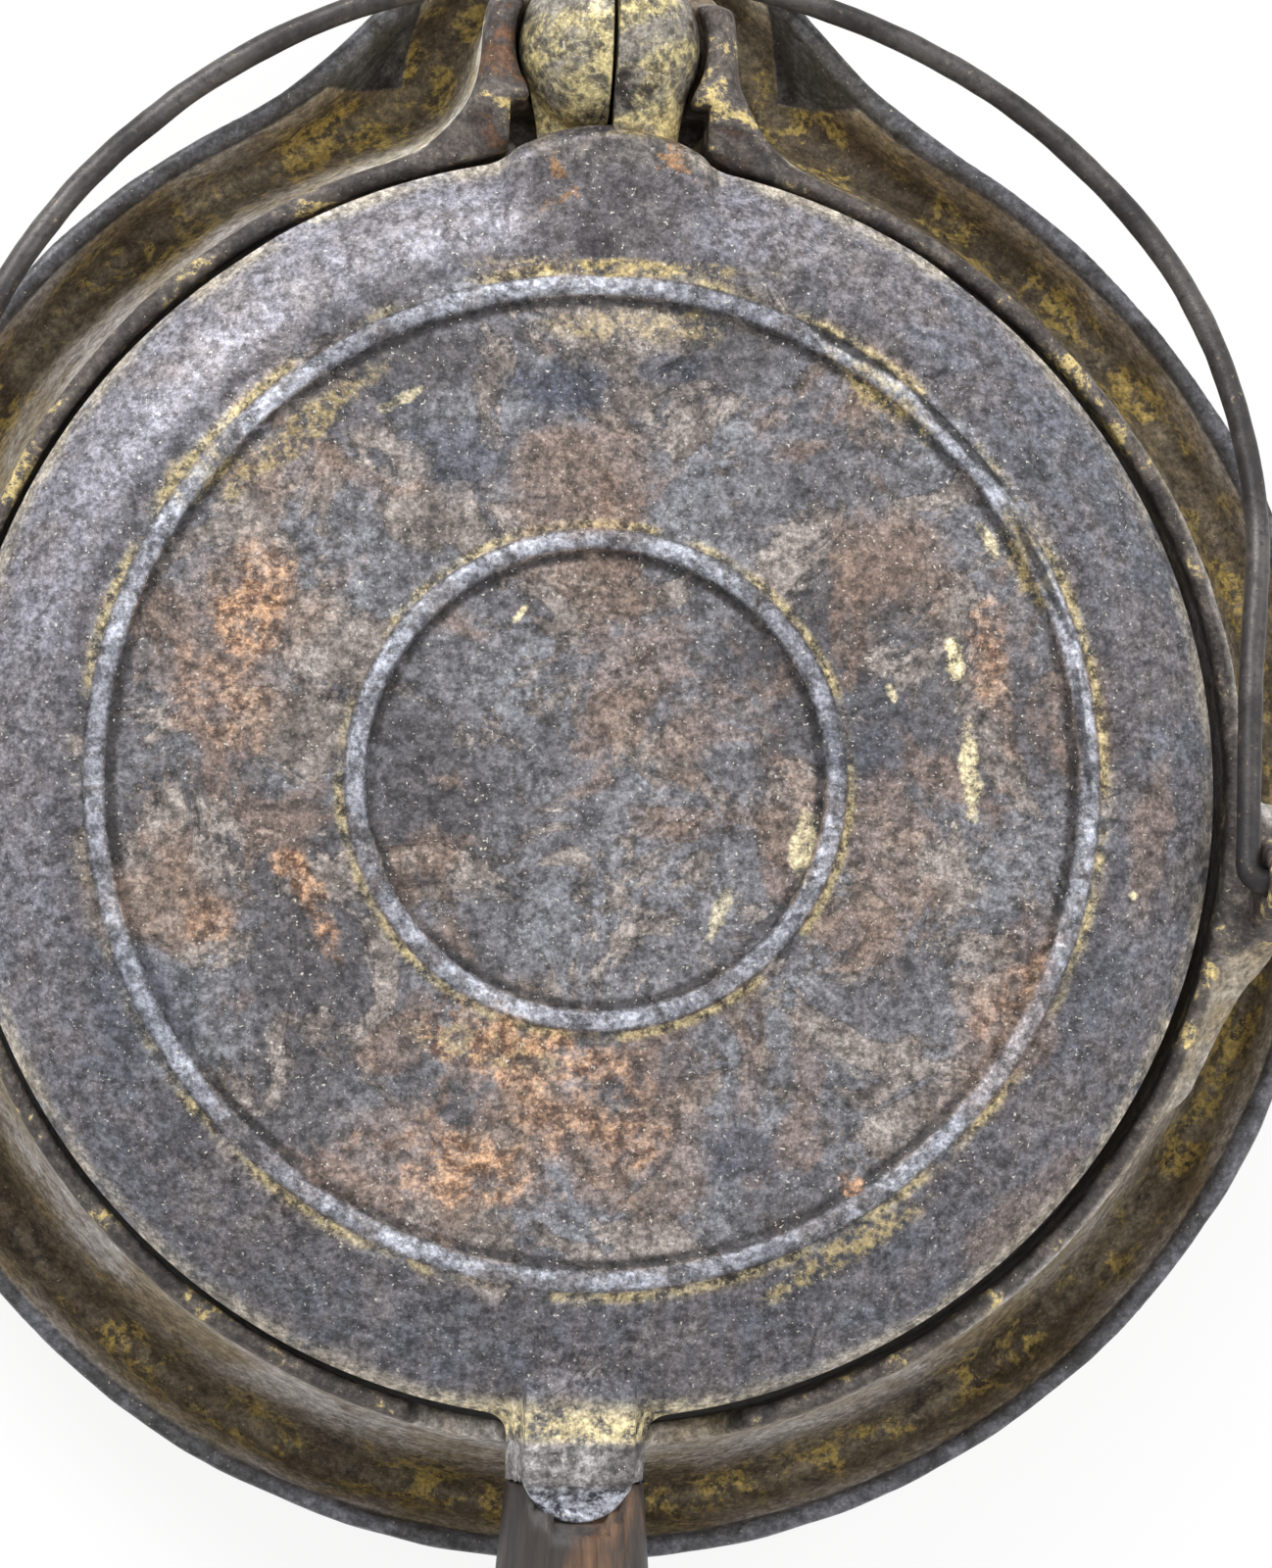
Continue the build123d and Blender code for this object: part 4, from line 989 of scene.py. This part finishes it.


# Cast iron of the ring base: a blue-black rim, a dark gutter flecked with ochre, a flank that pales
# towards the collar, painted light that whitens the flank beside the cheeks, and a dark collar edge.
def baseIron(name):
    g = Graph(name)
    spot = g.place(tuple(ringCentre))
    x, y, z = g.axes(spot)
    r = (x * x + y * y) ** 0.5 * 1000
    dy = y - paddle["ballDistance"] * mm
    socket = (x * x + dy * dy) ** 0.5 * 1000
    height = z * 1000 + ringCentre[2] / mm
    rimAway = (r - ring["rim"]).maths("MINIMUM", socket - ring["lobe"])
    cloud = g.noise(spot, 28, 6, 0.62, 0.5)
    patch = g.noise(spot, 10, 8, 0.68, 0.5)
    grain = g.noise(spot, 1.9, 6, 0.74)
    fine = g.noise(spot, 0.75, 4, 0.7)
    speck = g.noise(spot, 0.6, 2, 0.5)
    low = g.mix(cloud.ramp(0.36, 0.64), tone(86, 74, 60), tone(128, 116, 94))
    low = g.mix(patch.ramp(0.5, 0.57) * grain.ramp(0.42, 0.52), low, tone(170, 148, 84))
    low = g.mix(patch.ramp(0.42, 0.34), low, tone(54, 48, 43))
    flank = g.mix(cloud.ramp(0.38, 0.62), tone(150, 136, 112), tone(188, 182, 178))
    flank = g.mix(patch.ramp(0.52, 0.62, 0, 0.7), flank, tone(128, 114, 96))
    # Painted light: the upper flank beside the cheeks is coloured near white, where it faces the light.
    wing = socket.ramp(54, 30)
    flankPaintedLight = g.mix(patch.ramp(0.36, 0.60), tone(206, 190, 150), tone(246, 243, 238))
    flank = g.mix(wing * height.ramp(12, 24) * 0.95, flank, flankPaintedLight)
    colour = g.mix(height.ramp(8, 24), low, flank)
    ridge = (height.ramp(47.0, 48.6)).atLeast((r.ramp(100.8, 99.2)) * height.ramp(41, 45))
    edge = g.mix(patch.ramp(0.44, 0.6), tone(66, 60, 58), tone(108, 100, 94))
    edge = g.mix(patch.ramp(0.56, 0.6) * grain.ramp(0.44, 0.52) * 0.9, edge, tone(196, 176, 120))
    edge = g.mix(socket.ramp(30, 22) * patch.ramp(0.48, 0.40) * 0.8, edge, tone(104, 72, 48))
    colour = g.mix(ridge, colour, edge)
    inside = socket.ramp(19.4, 18.6) * height.ramp(50.5, 48.5)
    colour = g.mix(inside * 0.8, colour, tone(70, 48, 34))
    rim = rimAway.ramp(-4.4, -3.4) * height.ramp(20.5, 22.0)
    rim = rim.atLeast(rimAway.ramp(-0.9, -0.4))
    colour = g.mix(rim * 0.92, colour, g.mix(patch.ramp(0.42, 0.62), tone(50, 52, 58), tone(92, 94, 102)))
    colour = g.mix(1.0, colour, mottle(g, grain, 0.34, 0.66, 0.55, 1.45), "MULTIPLY")
    colour = g.mix(1.0, colour, mottle(g, fine, 0.32, 0.68, 0.68, 1.32), "MULTIPLY")
    colour = g.mix(speck.ramp(0.68, 0.76, 0.0, 0.6), colour, tone(214, 204, 176))
    rough = cloud.ramp(0.3, 0.7, 0.62, 0.50) + rim * -0.14
    relief = grain * 0.5 + g.noise(spot, 5.5, 6, 0.62) * 0.8 + fine * 0.25
    return g.finish(Base_Color=colour, Roughness=rough, Metallic=0.25, Normal=g.bump(relief * (1 - rim * 0.6), 0.42))


# Dull drawn wire.
def wireIron(name):
    g = Graph(name)
    spot = g.place(tuple(ringCentre))
    cloud = g.noise(spot, 18, 5, 0.6)
    grain = g.noise(spot, 1.4, 4, 0.7)
    colour = g.mix(cloud.ramp(0.36, 0.64), tone(52, 49, 50), tone(92, 88, 86))
    colour = g.mix(grain.ramp(0.34, 0.5, 0.6, 0.0), colour, tone(40, 36, 36))
    colour = g.mix(grain.ramp(0.6, 0.74, 0.0, 0.5), colour, tone(170, 150, 120))
    return g.finish(
        Base_Color=colour, Roughness=cloud.ramp(0.3, 0.7, 0.5, 0.38), Metallic=0.45,
        Normal=g.bump(grain + cloud, 0.15),
    )


# Black paint worn to brown wood.
def gripPaint(name):
    g = Graph(name)
    fibre = g.noise(g.place(tuple(ringCentre), stretch=(1, 0.06, 1)), 2.2, 6, 0.65)
    worn = g.noise(g.place(tuple(ringCentre), stretch=(1, 0.4, 1)), 14, 6, 0.62, 0.4)
    colour = g.mix(fibre.ramp(0.35, 0.65), tone(40, 35, 33), tone(66, 58, 54))
    wood = g.mix(fibre.ramp(0.35, 0.65), tone(92, 64, 44), tone(140, 104, 74))
    colour = g.mix(worn.ramp(0.55, 0.68, 0, 0.75), colour, wood)
    return g.finish(
        Base_Color=colour, Roughness=worn.ramp(0.4, 0.7, 0.42, 0.62), Metallic=0.0,
        Normal=g.bump(fibre + worn * 2, 0.2),
    )


# Dull steel, lightly rusted.
def screwSteel(name):
    g = Graph(name)
    spot = g.place(tuple(ringCentre))
    grain = g.noise(spot, 1.2, 5, 0.7)
    colour = g.mix(grain.ramp(0.4, 0.62), tone(110, 104, 98), tone(164, 158, 150))
    colour = g.mix(grain.ramp(0.45, 0.35, 0, 0.8), colour, tone(96, 62, 42))
    return g.finish(
        Base_Color=colour, Roughness=grain.ramp(0.3, 0.7, 0.6, 0.42), Metallic=0.7, Normal=g.bump(grain, 0.1),
    )


castTop = paddleIron("castIronUpper", 1.0, faceMarks)
castBottom = paddleIron("castIronLower", 4.0, None)
castBase = baseIron("castIronBase")
wire = wireIron("ironWire")
paint = gripPaint("paintedWood")
steel = screwSteel("dullSteel")
print("materials made")

for side, lower, body, cast in (("top", False, "upper_half", castTop), ("bottom", True, "lower_half", castBottom)):
    seed = 40 if lower else 10
    settle(paddleShell(side + "Shell", lower, seed), body, cast, "cast_iron", side + "_paddle")
    settle(wafflePattern(side + "Grid", lower), body, cast, "cast_iron", side + "_paddle")
    settle(ballHalf(side + "Ball", lower, seed + 5), body, cast, "cast_iron", side + "_paddle")
    settle(neckBlock(side + "Neck", lower), body, cast, "cast_iron", side + "_paddle")
    settle(gripHalf(side + "Grip", lower, seed + 9), body, paint, "painted_wood", side + "_grip")
    settle(screwHeads(side + "Screws", lower), body, steel, "steel_fasteners", side + "_grip_screws")
    print(side, "paddle made")
settle(basePiece(21), "ring_base", castBase, "cast_iron", "base")
print("base made")
settle(bailPiece(), "carrying_bail", wire, "iron_wire", "bail")
print("bail made")
pin = frame["nodes"]["hinge_pin"]
pin.data.materials.clear()
pin.data.materials.append(steel)

# The camera fitted to the circles of the plate: lens and sensor in millimetres, turns in radians, and
# its place in metres from the middle of the plate.
sight = {
    "lens": 91.7, "sensor": 36.0, "near": 0.01, "far": 20.0,
    "turns": ((-0.08504, "Y"), (0.06385, "X"), (0.02411, "Z")), "offset": (-0.0444, -0.0383, 0.6),
}
cameraData = bpy.data.cameras.new("camera")
camera = bpy.data.objects.new("camera", cameraData)
bpy.context.scene.collection.objects.link(camera)
cameraData.lens, cameraData.sensor_width = sight["lens"], sight["sensor"]
cameraData.clip_start, cameraData.clip_end = sight["near"], sight["far"]
aboutY, aboutX, aboutZ = (Matrix.Rotation(angle, 4, axis) for angle, axis in sight["turns"])
tilt = aboutY @ aboutX @ aboutZ
camera.matrix_world = Matrix.Translation(Vector(ringCentre) + Vector(sight["offset"])) @ tilt
bpy.context.scene.camera = camera


# A square lamp that faces a point.
def lamp(name, place, target, size, power):
    data = bpy.data.lights.new(name, "AREA")
    data.shape, data.size, data.energy = "SQUARE", size, power
    made = bpy.data.objects.new(name, data)
    made.location = place
    made.rotation_euler = (Vector(place) - Vector(target)).to_track_quat("Z", "Y").to_euler()
    bpy.context.scene.collection.objects.link(made)
    return made


lamp("keyLamp", (-0.42, 0.95, 0.85), (0, 0.05, 0.05), 0.55, 11)
lamp("fillLamp", (0.8, 0.25, 0.8), (0, 0.05, 0.05), 0.6, 3)
world = bpy.data.worlds.new("world")
bpy.context.scene.world = world
world.use_nodes = True
world.node_tree.nodes["Background"].inputs["Color"].default_value = (1, 1, 1, 1)
world.node_tree.nodes["Background"].inputs["Strength"].default_value = 0.82


# A pale floor that takes the object's shadow. The camera sees most of it as plain white.
def floorPiece():
    g = Graph("paleFloor")
    g.finish(Base_Color=(0.9, 0.9, 0.9, 1), Roughness=0.9)
    path = g.make("ShaderNodeLightPath")
    seen = [Value(g, path.socket.node.outputs[kind]) for kind in ("Is Camera Ray", "Is Glossy Ray", "Is Transmission Ray")]
    white = g.make("ShaderNodeEmission", {}, {"Color": (1, 1, 1, 1), "Strength": 1.0})
    mixed = g.tree.nodes.new("ShaderNodeMixShader")
    x, y, _ = g.axes(g.place(tuple(ringCentre)))
    clear = ((x * x + y * y) ** 0.5).ramp(0.112, 0.118)
    g.put(mixed.inputs[0], seen[0].atLeast(seen[1]).atLeast(seen[2]) * clear * 0.86)
    g.tree.links.new(g.shader.outputs[0], mixed.inputs[1])
    g.tree.links.new(white.socket, mixed.inputs[2])
    g.tree.links.new(mixed.outputs[0], g.tree.nodes["Material Output"].inputs["Surface"])
    reach = 3.0
    mesh = bpy.data.meshes.new("floor")
    corners = [(-reach, -reach, 0), (reach, -reach, 0), (reach, reach, 0), (-reach, reach, 0)]
    mesh.from_pydata(corners, [], [(0, 1, 2, 3)])
    floor = bpy.data.objects.new("floor", mesh)
    bpy.context.scene.collection.objects.link(floor)
    mesh.materials.append(g.material)


floorPiece()
bpy.context.scene.view_settings.view_transform = "Standard"
